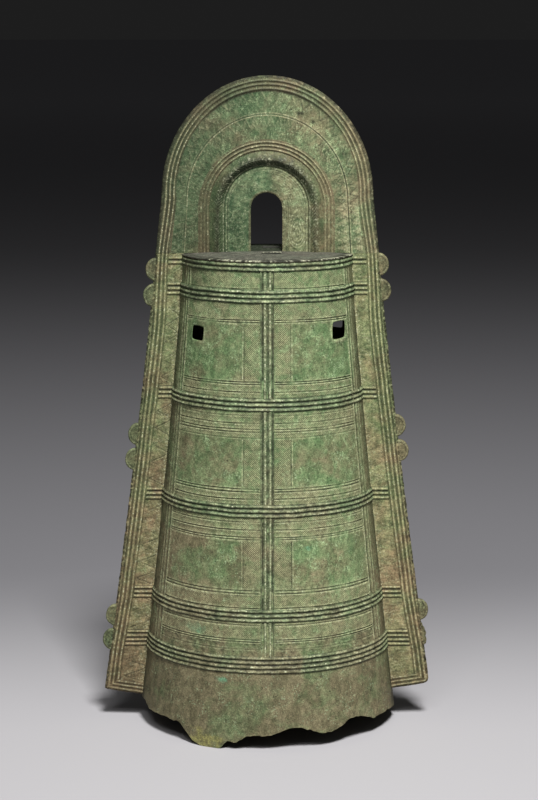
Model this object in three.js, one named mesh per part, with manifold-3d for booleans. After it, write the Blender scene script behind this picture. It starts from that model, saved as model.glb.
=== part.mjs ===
// A dotaku, the cast bronze bell of Japan's late Yayoi period, standing on its broken hem.
// Millimetres, +Z up. The front faces -Y and the fins lie in the plane y = 0.
// The origin is on the floor under the middle of the bell.
import * as THREE from "three";
import { mergeVertices } from "three/addons/utils/BufferGeometryUtils.js";
import Module from "manifold-3d";

const wasm = await Module();
wasm.setup();

// Body
const crownHeight = 720; // floor to the rim of the crown plate
const rimHalfWidth = 124.3;
const rimHalfDepth = 92;
const mouthHalfWidth = 198;
const mouthHalfDepth = 146.5;
const wallThick = 4.5;
const flarePower = 1.15; // above 1 the walls curve outwards towards the mouth
const almondShare = 0.14; // share of each half ellipse that is cut away where the halves meet
const hemBreak = 36; // height of the deepest break in the hem
// Holes in the wall: the place and size of each, seen from the front; out is from the middle of the bell
const leftHole = { out: 101, drop: 110, width: 16.5, height: 22 }; // drop is from the rim
const rightHole = { out: 104, drop: 106.5, width: 18.5, height: 26.5 };
const fitGap = 0.3; // between cast parts that lie on each other

// Raised bands round the body and down the middle of each face
const ridgeSpacing = 6.8;
const ridgeHeight = 2.6;
const grooveHeight = 0.7;
const uprightWidth = 20.8;
const uprightRidgeSpacing = 7.2;

// Rib inside the mouth
const ribHeight = 76; // floor to the middle of the rib
const ribWidth = 12;
const ribDepth = 6;

// Crown plate
const plateThick = 3.5;
const plateDome = 2.5;
const plateBackRise = 4; // how much higher its back half swells
const plateFlatHalf = 13; // level where the loop stands on it
const plateSwellRun = 16; // from there to the swell's full height
const plateOverhang = 2;
const slotWidth = 27;
const slotDepth = 12;
const slotReach = 27; // middle of the bell to the middle of a slot
const slotOffset = 5.5; // the front slot lies a little to the right

// Fins
const finThick = 7;
const finTopWidth = 40.4;
const finFootWidth = 59; // where the fin's edge would meet the floor
const leftFinFoot = 46; // floor to the foot of the left fin
const rightFinFoot = 56;
const finRidgeHeight = 1.6;
const finRidgeSpacing = 6.2;
const finBorder = 5; // plain border outside the three ridges, on the fins and on the loop

// Ears
const earHalfHeight = 17;
const earReach = 12.5;
const earThick = 7;
const earBevel = 1.2;
const brokenEarReach = 4.2;
const earPitch = 38.5;

// Loop, measured up from the crown's rim and out from the middle
const loopRise = 258;
const loopSpring = 84.6; // where the outer edge starts to arch
const loopTaper = 9.7; // how much narrower the loop is there than at the rim
const ringCentre = 65.5; // centre of the opening's arch and of the rings round it
const ringOffset = 1.2; // they lie a little to the left
const openingHalfWidth = 23.2;
const innerFlangeWidth = 37.2;
const ringWidth = 23.4;
const ringRidgeSpacing = 5.2; // of the three ridges round the rhombic ring
const ringHalfThick = 12;
const loopThick = 7;

// Places as shares, chosen by eye
const bandHeightShares = [0.927, 0.71, 0.4945, 0.28, 0.1785]; // of the crown's height
const earHeightShares = { left: [0.939, 0.594, 0.2013], right: [0.9497, 0.6126, 0.2134] };
const ringCrestShare = 0.54; // of the ring's width, from the outside
const edgeThickShare = 0.6; // of the thickness, left at a sheet's edge
const plateRingShares = [0.85, 0.65, 0.45, 0.24]; // of the crown plate's outline
const innerLevelShares = [0.92, 0.6, 0.32]; // of the crown's height
const ribCrestShares = [0.25, 0.75]; // of the inner rib's width
const footSlantShare = 0.18; // how far a fin's foot drops towards the wall, as a share of its width

// The hem, as pairs: share of the half turn from right to left, share of the deepest break
const frontHemShares = [
  [0, 0.55], [0.045, 0.5], [0.13, 0.73], [0.2, 0.7], [0.25, 1], [0.285, 1], [0.32, 0.7], [0.36, 0.58],
  [0.42, 0.95], [0.445, 0.95], [0.49, 0.67], [0.55, 0.6], [0.58, 0.3], [0.61, 0], [0.664, 0],
  [0.69, 0.2], [0.73, 0.8], [0.81, 0.84], [0.87, 0.8], [0.9, 1], [1, 0.9],
];
const backHemShares = [
  [0, 0.55], [0.045, 0.5], [0.067, 0.36], [0.09, 0.14], [0.1, 0], [0.34, 0], [0.37, 0.3], [0.42, 0.24],
  [0.45, 0], [0.62, 0], [0.66, 0.42], [0.7, 0.5], [0.75, 0], [0.86, 0], [0.9, 0.5], [0.95, 0.86], [1, 0.9],
];

// Counts
const columns = 24; // of the body's facets in each half, between the fins
const ridgesPerBand = 3;
const footBandRidges = 4;
const rimBandRidges = 2;
const arcSteps = 22;
const legSteps = 2;
const earSteps = 7;

const FRONT = -1;
const BACK = 1;
const LEFT = -1;
const RIGHT = 1;

const finish = (color, roughness, metalness) => ({ color, roughness, metalness });
const patina = finish(0x73875f, 0.72, 0.25);
const brownBronze = finish(0x877a58, 0.7, 0.3);
const darkBronze = finish(0x4f5244, 0.78, 0.3);
const paleRidge = finish(0x8d9a74, 0.7, 0.25);

const lerp = THREE.MathUtils.lerp;
const point = (x, y, z) => new THREE.Vector3(x, y, z);

const dotaku = new THREE.Group();
dotaku.name = "dotaku";

function add(name, geometry, look) {
  const mesh = new THREE.Mesh(geometry, new THREE.MeshStandardMaterial(look));
  mesh.name = name;
  dotaku.add(mesh);
  return mesh;
}

// Closed surface from points and triangles, turned so that its faces point out
function closedSurface(points, faces) {
  let volume = 0;
  for (const [a, b, c] of faces) {
    volume += points[a].dot(points[b].clone().cross(points[c]));
  }
  const index = volume < 0 ? faces.map(([a, b, c]) => [a, c, b]) : faces;
  const geometry = new THREE.BufferGeometry().setFromPoints(points);
  geometry.setIndex(index.flat());
  return geometry;
}

function addQuad(faces, a, b, c, d) {
  faces.push([a, b, c], [a, c, d]);
}

// Solid through closed outlines of equal length, capped at both ends or joined into a ring
function sweep(outlines, isRing = false) {
  const size = outlines[0].length;
  const faces = [];
  const last = isRing ? outlines.length : outlines.length - 1;
  for (let row = 0; row < last; row += 1) {
    const next = (row + 1) % outlines.length;
    for (let i = 0; i < size; i += 1) {
      const j = (i + 1) % size;
      addQuad(faces, row * size + i, row * size + j, next * size + j, next * size + i);
    }
  }
  if (!isRing) {
    addCap(faces, outlines[0], 0, true);
    addCap(faces, outlines.at(-1), size * last, false);
  }
  return closedSurface(outlines.flat(), faces);
}

// Flat cap on an outline, laid out in whichever two directions show the most of it
function addCap(faces, outline, offset, reversed) {
  const views = [["x", "y"], ["x", "z"], ["y", "z"]].map(([across, up]) => {
    return outline.map((p) => new THREE.Vector2(p[across], p[up]));
  });
  const seen = views.map((view) => Math.abs(THREE.ShapeUtils.area(view)));
  const flat = views[seen.indexOf(Math.max(...seen))];
  const wholeArea = THREE.ShapeUtils.area(flat);
  for (const triangle of THREE.ShapeUtils.triangulateShape(flat, [])) {
    const [a, b, c] = triangle.map((i) => i + offset);
    const area = THREE.ShapeUtils.area(triangle.map((i) => flat[i]));
    const followsOutline = area * wholeArea > 0;
    faces.push(followsOutline === reversed ? [a, c, b] : [a, b, c]);
  }
}

// Upright sheet in the plane y = 0, from rows of points whose y is half the thickness there
function sheet(rows) {
  const outlines = rows.map((row) => {
    const back = row.slice().reverse();
    return [...row.map((p) => point(p.x, -p.y, p.z)), ...back];
  });
  return sweep(outlines);
}

function toSolid(geometry) {
  const bare = geometry.clone();
  bare.deleteAttribute("normal");
  bare.deleteAttribute("uv");
  const merged = mergeVertices(bare);
  const vertProperties = merged.getAttribute("position").array;
  const triVerts = new Uint32Array(merged.getIndex().array);
  return new wasm.Manifold(new wasm.Mesh({ numProp: 3, vertProperties, triVerts }));
}

function toGeometry(solid) {
  const { vertProperties, triVerts } = solid.getMesh();
  const geometry = new THREE.BufferGeometry();
  geometry.setAttribute("position", new THREE.BufferAttribute(vertProperties, 3));
  geometry.setIndex(new THREE.BufferAttribute(triVerts, 1));
  return geometry;
}

function cut(geometry, cutters) {
  let solid = toSolid(geometry);
  for (const cutter of cutters) {
    solid = solid.subtract(toSolid(cutter));
  }
  return toGeometry(solid);
}

// Shape of the body: half its width and depth at a height, and its almond section
const spread = (z) => Math.pow(Math.max(1 - z / crownHeight, 0), flarePower);
const halfWidth = (z) => lerp(rimHalfWidth, mouthHalfWidth, spread(z));
const halfDepth = (z) => lerp(rimHalfDepth, mouthHalfDepth, spread(z));
const besideFin = finThick / 2 + ridgeHeight + fitGap;

// Angle in the half ellipse at which the section lies `reach` in front of the fins' plane
function angleAtReach(reach, depth) {
  return Math.asin(almondShare + ((1 - almondShare) * reach) / depth);
}

// The first column lies where the halves meet, and the second lies just clear of the fin
function columnAngle(column, depth) {
  const parting = angleAtReach(fitGap / 2, depth);
  const clear = angleAtReach(besideFin, depth);
  if (column === 0) return parting;
  if (column === columns + 2) return Math.PI - parting;
  return lerp(clear, Math.PI - clear, (column - 1) / columns);
}

// Point of the body's section, `grow` outside the wall's outer face
function sectionPoint(z, grow, column, side) {
  const depth = halfDepth(z) + grow;
  const angle = columnAngle(column, depth);
  const x = ((halfWidth(z) + grow) * Math.cos(angle)) / Math.cos(Math.asin(almondShare));
  const y = (depth * (Math.sin(angle) - almondShare)) / (1 - almondShare);
  return point(x, side * y, z);
}

// Depth of the section at a distance x from the middle
function depthAt(x, z, grow) {
  const angle = Math.acos((x * Math.cos(Math.asin(almondShare))) / (halfWidth(z) + grow));
  return ((halfDepth(z) + grow) * (Math.sin(angle) - almondShare)) / (1 - almondShare);
}

// Value in a table of pairs at a share, on straight lines between its entries
function valueAt(pairs, share) {
  const after = pairs.findIndex(([start]) => start >= share);
  if (after <= 0) return pairs.at(after === 0 ? 0 : -1)[1];
  const [[from, low], [to, high]] = [pairs[after - 1], pairs[after]];
  return lerp(low, high, (share - from) / (to - from));
}

// Bands of ridges, from the rim down
const wallTop = crownHeight - plateThick - fitGap;
const bandNames = ["rim", "shoulder", "upper", "middle", "lower", "foot"];
const bands = bandNames.map((name, i) => {
  const counts = { rim: rimBandRidges, foot: footBandRidges };
  const ridges = counts[name] ?? ridgesPerBand;
  const half = (ridges * ridgeSpacing) / 2;
  const centre = name === "rim" ? wallTop - half : bandHeightShares[i - 1] * crownHeight;
  return { name, ridges, bottom: centre - half, top: centre + half };
});

// Heights of a band's grooves and crests, from its bottom up
function ridgeSteps({ ridges, bottom }) {
  const steps = [];
  for (let i = 0; i <= 2 * ridges; i += 1) {
    steps.push({ z: bottom + (i * ridgeSpacing) / 2, crest: i % 2 });
  }
  return steps;
}

const wallLevels = bands.flatMap(({ bottom, top }) => [top, bottom]).reverse();
const ribTop = ribHeight + ribWidth / 2;
const ribBottom = ribHeight - ribWidth / 2;
const innerLevels = [...innerLevelShares.map((share) => share * crownHeight), ribTop, ribBottom];

function wall(side, hemShares) {
  const outlines = [];
  for (let column = 0; column <= columns + 2; column += 1) {
    const share = columnAngle(column, halfDepth(0)) / Math.PI;
    const hem = hemBreak * valueAt(hemShares, share);
    const outer = [hem, ...wallLevels].map((z) => sectionPoint(z, 0, column, side));
    const inner = [wallTop, ...innerLevels, hem].map((z) => {
      return sectionPoint(z, -wallThick, column, side);
    });
    outlines.push([...outer, ...inner]);
  }
  const holes = [LEFT, RIGHT].map((hand) => {
    const { out, drop, width, height } = hand === LEFT ? leftHole : rightHole;
    const hole = new THREE.BoxGeometry(width, mouthHalfDepth, height);
    return hole.translate(hand * out, side * (mouthHalfDepth / 2 + fitGap), crownHeight - drop);
  });
  return cut(sweep(outlines), holes);
}

add("wall_front", wall(FRONT, frontHemShares), patina);
add("wall_back", wall(BACK, backHemShares), patina);

// Half of a band of ridges, lying on the wall from fin to fin
function ridgeBand(band, side) {
  const outlines = [];
  for (let column = 1; column <= columns + 1; column += 1) {
    const outer = ridgeSteps(band).map(({ z, crest }) => {
      return sectionPoint(z, lerp(grooveHeight, ridgeHeight, crest), column, side);
    });
    const inner = [band.top, band.bottom].map((z) => sectionPoint(z, fitGap, column, side));
    outlines.push([...outer, ...inner]);
  }
  return sweep(outlines);
}

for (const band of bands) {
  add(`${band.name}_band_front`, ridgeBand(band, FRONT), paleRidge);
  add(`${band.name}_band_back`, ridgeBand(band, BACK), paleRidge);
}

// One length of the upright band, between two bands round the body
function uprightBand(above, below, side) {
  const edge = uprightWidth / 2;
  const crest = uprightRidgeSpacing / 2;
  const section = [
    [-edge, fitGap], [-edge, grooveHeight], [-crest, ridgeHeight], [0, grooveHeight],
    [crest, ridgeHeight], [edge, grooveHeight], [edge, fitGap], [0, fitGap],
  ];
  const outlines = [below.top + fitGap, above.bottom - fitGap].map((z) => {
    return section.map(([x, grow]) => point(x, side * depthAt(x, z, grow), z));
  });
  return sweep(outlines);
}

for (let i = 1; i < bands.length; i += 1) {
  const { name } = bands[i];
  add(`upright_band_front_${name}`, uprightBand(bands[i - 1], bands[i], FRONT), paleRidge);
  add(`upright_band_back_${name}`, uprightBand(bands[i - 1], bands[i], BACK), paleRidge);
}

// Rib round the inside of the mouth
function insideRib() {
  const onWall = -wallThick - fitGap;
  const crest = ribCrestShares.map((share) => [lerp(ribBottom, ribTop, share), onWall - ribDepth]);
  const profile = [[ribBottom, onWall], ...crest, [ribTop, onWall]];
  const outlines = [];
  for (const side of [FRONT, BACK]) {
    for (let i = 1; i <= columns + 1; i += 1) {
      const column = side === FRONT ? i : columns + 2 - i;
      outlines.push(profile.map(([z, grow]) => sectionPoint(z, grow, column, side)));
    }
  }
  return sweep(outlines, true);
}

add("inner_rib", insideRib(), darkBronze);

// Crown plate: domed, with a notch beside each fin and a slot before and behind the loop
const domeAt = (x) => plateDome * Math.max(1 - (x / rimHalfWidth) ** 2, 0);

// How far the plate rises over its rim, at a share of the way out to a point of its outline
function plateRise(share, y) {
  const climbed = Math.min(Math.max((share * y - plateFlatHalf) / plateSwellRun, 0), 1);
  return share < 1 ? plateDome * (1 - share ** 2) + plateBackRise * climbed : 0;
}

function crownPlate() {
  const outline = [];
  for (const side of [FRONT, BACK]) {
    for (let i = 1; i <= columns + 1; i += 1) {
      const column = side === FRONT ? i : columns + 2 - i;
      outline.push(sectionPoint(crownHeight, plateOverhang, column, side));
    }
    const tip = side * halfWidth(crownHeight);
    const { y } = outline.at(-1);
    outline.push(point(tip, y, crownHeight), point(tip, -y, crownHeight));
  }
  const rings = [1, ...plateRingShares].map((share) => {
    return outline.map((p) => point(share * p.x, share * p.y, crownHeight + plateRise(share, p.y)));
  });
  const top = [...rings.flat(), point(0, 0, crownHeight + plateDome)];
  const under = top.map((p) => point(p.x, p.y, p.z - plateThick));
  const size = outline.length;
  const faces = [];
  for (let i = 0; i < size; i += 1) {
    const j = (i + 1) % size;
    for (let ring = 0; ring + 1 < rings.length; ring += 1) {
      const [a, b] = [ring * size, (ring + 1) * size];
      addQuad(faces, a + i, a + j, b + j, b + i);
      addQuad(faces, top.length + a + j, top.length + a + i, top.length + b + i, top.length + b + j);
    }
    const inmost = (rings.length - 1) * size;
    const middle = top.length - 1;
    faces.push([inmost + i, inmost + j, middle]);
    faces.push([top.length + inmost + j, top.length + inmost + i, top.length + middle]);
    addQuad(faces, j, i, top.length + i, top.length + j);
  }
  const slots = [FRONT, BACK].map((side) => {
    const slot = new THREE.BoxGeometry(slotWidth, slotDepth, crownHeight);
    return slot.translate(slotOffset, side * slotReach, crownHeight);
  });
  return cut(closedSurface([...top, ...under], faces), slots);
}

add("crown_plate", crownPlate(), darkBronze);

// Fins. Three ridges follow the outer edge, and a band of ridges crosses each fin at every band.
const finWidth = (z) => lerp(finTopWidth, finFootWidth, 1 - z / crownHeight);
const finEdge = (z) => halfWidth(z) + finWidth(z);

// Distances from an edge to three ridges and the grooves between them
function threeRidges(border, spacing) {
  return Array.from({ length: 2 * ridgesPerBand + 1 }, (_, i) => {
    return { inset: border + (i * spacing) / 2, crest: i % 2 };
  });
}

const rimSteps = [{ inset: 0, crest: 0 }, ...threeRidges(finBorder, finRidgeSpacing)];

function fin(hand, foot) {
  const footBand = { ridges: ridgesPerBand, bottom: foot, top: foot + ridgesPerBand * ridgeSpacing };
  const footSteps = ridgeSteps(footBand).map((step) => ({ ...step, slant: footSlantShare }));
  const bandSteps = bands.slice().reverse().flatMap((band) => ridgeSteps(band));
  const levels = [...footSteps, ...bandSteps, { z: crownHeight, crest: 0 }];
  const rows = levels.map(({ z, crest, slant = 0 }) => {
    const raised = finThick / 2 + crest * finRidgeHeight;
    const inside = (inset, half) => point(hand * (finEdge(z) - inset), half, z - slant * inset);
    const row = rimSteps.map(({ inset, crest: onRidge }) => {
      const edge = inset === 0 ? edgeThickShare : 1;
      return inside(inset, (edge * finThick) / 2 + onRidge * finRidgeHeight);
    });
    row.push(inside(rimSteps.at(-1).inset + finRidgeSpacing / 2, raised));
    const wallZ = z - slant * finWidth(z);
    row.push(point(hand * (halfWidth(wallZ) + fitGap), raised, wallZ));
    return row;
  });
  return sheet(rows);
}

add("fin_left", fin(LEFT, leftFinFoot), brownBronze);
add("fin_right", fin(RIGHT, rightFinFoot), brownBronze);

// Half-disc ears in pairs on the fins' edges. The lowest one on the right is broken off.
function addEar(name, hand, z, reach) {
  const outline = new THREE.Shape();
  const [start, end] = hand === RIGHT ? [-Math.PI / 2, Math.PI / 2] : [Math.PI / 2, (3 * Math.PI) / 2];
  outline.absellipse(0, 0, reach - earBevel, earHalfHeight - earBevel, start, end);
  outline.closePath();
  const body = new THREE.ExtrudeGeometry(outline, {
    depth: earThick - 2 * earBevel,
    bevelThickness: earBevel,
    bevelSize: earBevel,
    bevelSegments: 1,
    curveSegments: earSteps,
  });
  body.translate(hand * earBevel, 0, earBevel - earThick / 2);
  body.rotateX(Math.PI / 2);
  const ear = add(name, body, patina);
  const slope = finEdge(z - earHalfHeight) - finEdge(z + earHalfHeight);
  ear.rotation.y = -hand * Math.atan2(slope, 2 * earHalfHeight);
  ear.position.set(hand * (finEdge(z) + fitGap), 0, z);
}

for (const [side, hand] of [["left", LEFT], ["right", RIGHT]]) {
  earHeightShares[side].forEach((share, pair) => {
    const level = ["top", "middle", "bottom"][pair];
    const centre = share * crownHeight;
    const isBroken = side === "right" && level === "bottom";
    addEar(`ear_${side}_${level}_upper`, hand, centre + earPitch / 2, earReach);
    addEar(`ear_${side}_${level}_lower`, hand, centre - earPitch / 2, isBroken ? brokenEarReach : earReach);
  });
}

// Loop. Each of its rings stands on the crown plate on two legs and arches over the opening.
const loopBase = crownHeight + fitGap;
const loopFootHalf = finEdge(crownHeight);
const loopHalf = loopFootHalf - loopTaper;
const ringTop = crownHeight + ringCentre;
const ringInner = openingHalfWidth + innerFlangeWidth + fitGap;
const ringOuter = ringInner + ringWidth;

// Rows from the right foot over the arch to the left foot. rowAt gives the points of a row from
// the share of the leg climbed, the arch's angle, and the hand that the leg is on.
function overArch(rowAt) {
  const rows = [];
  for (let i = 0; i < legSteps; i += 1) rows.push(rowAt(i / legSteps, 0, RIGHT));
  for (let i = 0; i <= arcSteps; i += 1) rows.push(rowAt(1, (i * Math.PI) / arcSteps, RIGHT));
  for (let i = legSteps - 1; i >= 0; i -= 1) rows.push(rowAt(i / legSteps, 0, LEFT));
  return rows;
}

// Point at a radius round the opening, on a leg or on the arch
function ringPoint(radius, half, climbed, angle, hand) {
  const x = LEFT * ringOffset + hand * radius * Math.cos(angle);
  const foot = loopBase + domeAt(x);
  return point(x, half, lerp(foot, ringTop + radius * Math.sin(angle), climbed));
}

function ring(section) {
  const rows = overArch((climbed, angle, hand) => {
    return section.map(([radius, half]) => ringPoint(radius, half, climbed, angle, hand));
  });
  return sheet(rows);
}

function outerFlange() {
  const half = loopThick / 2;
  const bandStart = ringOuter + fitGap;
  const rows = overArch((climbed, angle, hand) => {
    const springX = hand * loopHalf * Math.cos(angle);
    const springZ = crownHeight + loopSpring + (loopRise - loopSpring) * Math.sin(angle);
    const edge = point(lerp(hand * loopFootHalf, springX, climbed), 0, lerp(loopBase, springZ, climbed));
    const start = ringPoint(bandStart, 0, climbed, angle, hand);
    const across = edge.clone().sub(start);
    const length = across.length();
    const at = (distance, y) => {
      const p = start.clone().addScaledVector(across, distance / length);
      const foot = loopBase + domeAt(p.x);
      return point(p.x, y, climbed === 0 ? foot : p.z);
    };
    const outside = rimSteps.map(({ inset, crest }) => {
      return at(length - inset, (inset === 0 ? edgeThickShare * half : half) + crest * finRidgeHeight);
    });
    const inside = threeRidges(0, ringRidgeSpacing).map(({ inset, crest }) => {
      return at(inset, half + crest * finRidgeHeight);
    });
    return [...outside, at(length / 2, half), ...inside.reverse()];
  });
  return sheet(rows);
}

const flangeHalf = loopThick / 2;
const ringCrest = lerp(ringOuter, ringInner, ringCrestShare);
const ringSection = [[ringOuter, flangeHalf], [ringCrest, ringHalfThick], [ringInner, flangeHalf]];
const innerEdge = openingHalfWidth + innerFlangeWidth;
add("loop_outer_flange", outerFlange(), patina);
add("loop_ring", ring(ringSection), brownBronze);
add("loop_inner_flange", ring([[innerEdge, flangeHalf], [openingHalfWidth, flangeHalf]]), patina);

export default dotaku;
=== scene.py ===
import math
from functools import reduce

import bmesh
import bpy
import numpy as np
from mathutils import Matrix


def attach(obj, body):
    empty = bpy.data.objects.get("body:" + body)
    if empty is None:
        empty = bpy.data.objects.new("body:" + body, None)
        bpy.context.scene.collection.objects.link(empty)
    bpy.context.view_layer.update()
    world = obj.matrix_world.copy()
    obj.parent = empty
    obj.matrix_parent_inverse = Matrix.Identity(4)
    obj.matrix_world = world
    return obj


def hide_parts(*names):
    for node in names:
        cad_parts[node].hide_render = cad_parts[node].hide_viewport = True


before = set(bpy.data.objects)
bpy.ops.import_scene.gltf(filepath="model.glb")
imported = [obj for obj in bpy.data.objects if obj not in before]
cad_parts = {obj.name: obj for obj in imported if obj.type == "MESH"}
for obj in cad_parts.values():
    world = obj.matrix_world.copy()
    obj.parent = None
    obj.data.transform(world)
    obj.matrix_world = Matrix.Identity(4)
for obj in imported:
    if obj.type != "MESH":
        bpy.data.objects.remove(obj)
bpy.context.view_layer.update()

MM = 0.001
FRONT = -1
BACK = 1
LEFT = -1
RIGHT = 1
SIDE_NAMES = {FRONT: "front", BACK: "back"}
HAND_NAMES = {LEFT: "left", RIGHT: "right"}

# Body
CROWN_HEIGHT = 720.0
RIM_HALF_WIDTH = 124.3
RIM_HALF_DEPTH = 92.0
MOUTH_HALF_WIDTH = 198.0
MOUTH_HALF_DEPTH = 146.5
WALL_THICK = 4.5
FLARE_POWER = 1.15
ALMOND = 0.14
START_ANGLE = math.asin(ALMOND)  # where the section meets the plane of the fins
ALMOND_COS = math.cos(START_ANGLE)
# Place, level, width and height
HOLES = {LEFT: (-101.0, 609.5, 16.5, 22.0), RIGHT: (104.0, 613.5, 18.5, 26.5)}
HOLE_CUT = (35.0, 60.0, 80.0, 130.0)  # how far from the bell's middle the outlines that cut a hole lie
HOLE_RIM = 1.6  # distance of the raised rim from the hole
HOLE_TURN = 0.09  # of the left holes, in radians
LEFT_BACK_HOLE_RISE = 4.0

# Bands
RIDGE_SPACING = 6.8
RIDGE_HEIGHT = 2.6
GROOVE_HEIGHT = 0.5
SINK = 0.3  # how far a raised piece reaches into what carries it
BAND_END_INSET = 0.8  # how far a band runs on under the face of the fin
UPRIGHT_WIDTH = 20.8
UPRIGHT_CRESTS = (-3.1, 4.2)
UPRIGHT_GROOVES = [(-6.9, 1.0), (0.6, 0.8), (7.9, 1.0)]  # place and strength
UPRIGHT_EDGE = 1.1  # from the edge to the low ridge beside it
UPRIGHT_OVERLAP = 0.6  # with the bands above and below

# Crown plate
PLATE_THICK = 3.5
PLATE_DOME = 2.5
PLATE_BACK_RISE = 4.0
PLATE_SWELL = (13.0, 29.0)  # how far behind the middle that rise starts and ends
PLATE_OVERHANG = 2.0
PLATE_DROOP = 1.2  # of its worn edge
SLOT_SIZE = (27.0, 12.0)
SLOT_REACH = 27.0
SLOT_BACK = 21.0  # its edge next to the loop
SLOT_OFFSET = 5.5
SLOT_LIP = 1.5  # height of its raised edge
SLOT_CUT = (700.0, 740.0)  # heights of the outlines that cut a slot

# Rib inside the mouth: height from its middle, and reach from the wall's inner face
RIB_HEIGHT = 76.0
RIB_PROFILE = [
    (-6.6, SINK), (-6.0, -1.5), (-4.2, -4.6), (-1.6, -6.0),
    (1.6, -6.0), (4.2, -4.6), (6.0, -1.5), (6.6, SINK),
]

# Fins and ears
FIN_HALF = 3.5
FIN_TOP_WIDTH = 40.4
FIN_FOOT_WIDTH = 59.0
FIN_FEET = {LEFT: 46.0, RIGHT: 56.0}
FOOT_SLANT = 0.18
FOOT_CORNERS = {LEFT: 3.0, RIGHT: 9.0}  # radii of the fins' outer lower corners
FIN_RIDGE_HEIGHT = 1.6
FIN_BORDER = 5.0
FIN_RIDGE_SPACING = 6.2
FIN_RIM = FIN_BORDER + 3 * FIN_RIDGE_SPACING
FIELD_START = FIN_RIM + 2.0
FIN_REACH = 1.6  # into the wall
FIN_TEETH = {LEFT: 1.0, RIGHT: 0.45}  # how clear the sawtooth rows are
FIN_LIGHT_TOWARDS_WALL = {LEFT: 0.45, RIGHT: 0.3}  # painted light: how pale the field turns towards the wall
FOOT_EDGE_CRESTS = (4.4, 10.4, 16.2)  # distances of the three ridges from the fins' lower edge
FOOT_RIM = 19.0  # width of the ridged rim along that edge
FOOT_CRESTS = (5.6, 11.4, 18.4)  # distances of the three ridges from the outer edge, at the fins' feet
MIDDLE_CRESTS = (8.8, 14.9, 21.9)
RIM_CRESTS = (5.2, 10.6, 16.2)  # at the crown's rim
ARCH_CRESTS = (7.2, 13.1, 19.3)
EDGE_THICK_SHARE = 0.6
EDGE_ROUND = 2.6  # from the edge to where the full thickness starts
EAR_HALF_HEIGHT = 17.0
EAR_REACH = 13.2
EAR_HALF_THICK = 3.5
EAR_ROOT = 1.5  # how far an ear reaches into its fin
EAR_LINE_SHARE = 0.72  # of the radius, where the line inside the rim runs
EAR_BEVEL_SHARE = 0.84
BROKEN_EAR = (RIGHT, "bottom", "lower")
BROKEN_EAR_REACH = 5.0
EAR_PITCH = 38.5
EAR_LEVELS = {
    LEFT: {"top": 676.1, "middle": 427.7, "bottom": 144.9},
    RIGHT: {"top": 683.8, "middle": 441.1, "bottom": 153.6},
}

# Loop
LOOP_RISE = 258.0
LOOP_SPRING = 84.6
LOOP_TAPER = 9.7
RING_CENTRE = 65.5
RING_OFFSET = 1.2
OPENING_HALF_WIDTH = 23.2
RING_INNER = 60.7
RING_OUTER = 84.1
RING_CREST = 71.5
RING_RIDGE_SPACING = 5.2
RING_HALF_THICK = 12.0
RING_OVERLAP = 0.4  # of the flanges with the ring
RING_LINE = 8.0  # how far inside the crest the thin line runs
INNER_RIM = 3 * RING_RIDGE_SPACING + 1.5
INNER_LINES = (58.9, 55.9)  # radii of the two lines inside the ring
INNER_GROOVE = 57.4  # radius of the groove between them
OPENING_EDGE = 1.6  # width of the thinner edge round the opening
LOOP_RIM = 22.5  # width of the ridged rim along the outer edge
DOUBLE_LINE_SHARE = 0.51  # of the way in
DOUBLE_LINE_HALF = 1.7
LOOP_TEETH_PITCH = 14.0
LOOP_TEETH = (23.0, 13.0)  # where the outer row starts, and its width
INNER_TEETH = (2.5, 16.0)  # from the double line
LOOP_ARC_RADIUS = 130.0  # by which the lines round the arch are measured
NESTED_PLACE = (44.0, 747.0)
NESTED_RADIUS = 14.5
NESTED_SPACING = 3.2

LOOP_PITS = [(45.6, 923.2, 2.3), (50.2, 923.8, 2.6), (66.6, 911.4, 2.6)]  # place, height and radius

# Heights of the middle of each band, with its number of ridges
WALL_TOP = CROWN_HEIGHT - PLATE_THICK - 0.3
BANDS = {
    "rim": (WALL_TOP - RIDGE_SPACING, 2),
    "shoulder": (667.4, 3),
    "upper": (511.2, 3),
    "middle": (356.0, 3),
    "lower": (201.6, 3),
    "foot": (128.5, 4),
}
BAND_SPANS = {
    name: (centre - ridges * RIDGE_SPACING / 2, centre + ridges * RIDGE_SPACING / 2)
    for name, (centre, ridges) in BANDS.items()
}
BAND_NAMES = list(BANDS)

# Engraved lines round the body: height and strength
WALL_LINES = [
    (678.5, 0.8),
    (633.2, 1.0), (630.2, 0.7), (544.2, 1.0), (541.0, 0.8), (529.6, 0.9), (521.3, 0.6),
    (495.8, 0.5), (484.6, 0.8), (476.0, 0.9), (472.0, 0.9), (463.0, 0.4),
    (388.6, 0.9), (384.6, 1.0), (373.8, 1.0), (364.8, 0.7),
    (340.0, 0.7), (328.6, 1.0), (317.5, 1.0), (314.6, 0.7), (238.8, 0.9), (234.6, 1.0), (213.0, 1.0),
    (188.0, 0.8), (166.2, 1.0), (163.2, 1.0), (151.6, 0.5),
]
# Heights between which each half's plain panels lie, and those of the strips with a lattice
PANELS = [(546.0, 628.5), (391.0, 461.0), (241.0, 312.5)]
LATTICE_STRIPS = [(678.0, 702.0), (632.0, 658.0), (514.0, 540.0), (464.0, 501.0), (365.0, 383.0),
                  (318.0, 346.0), (213.0, 233.0), (168.0, 191.0)]
SAWTOOTH_STRIP = (142.0, 162.0)
# Distance from the side at the rim, its gain to the floor, and strength
SIDE_LINES = [(13.6, 9.0, 1.0), (10.2, 6.3, 0.6), (7.0, 5.5, 0.5)]
PANEL_BORDER = 33.5  # from the middle to a panel's upright line, at the crown
PANEL_BORDER_GAIN = 0.006

HEM_BREAK = 36.0  # height of the deepest break in the hem
FLOOR_GAP = 0.15  # keeps the feet of the wall out of the floor's own plane
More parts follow.
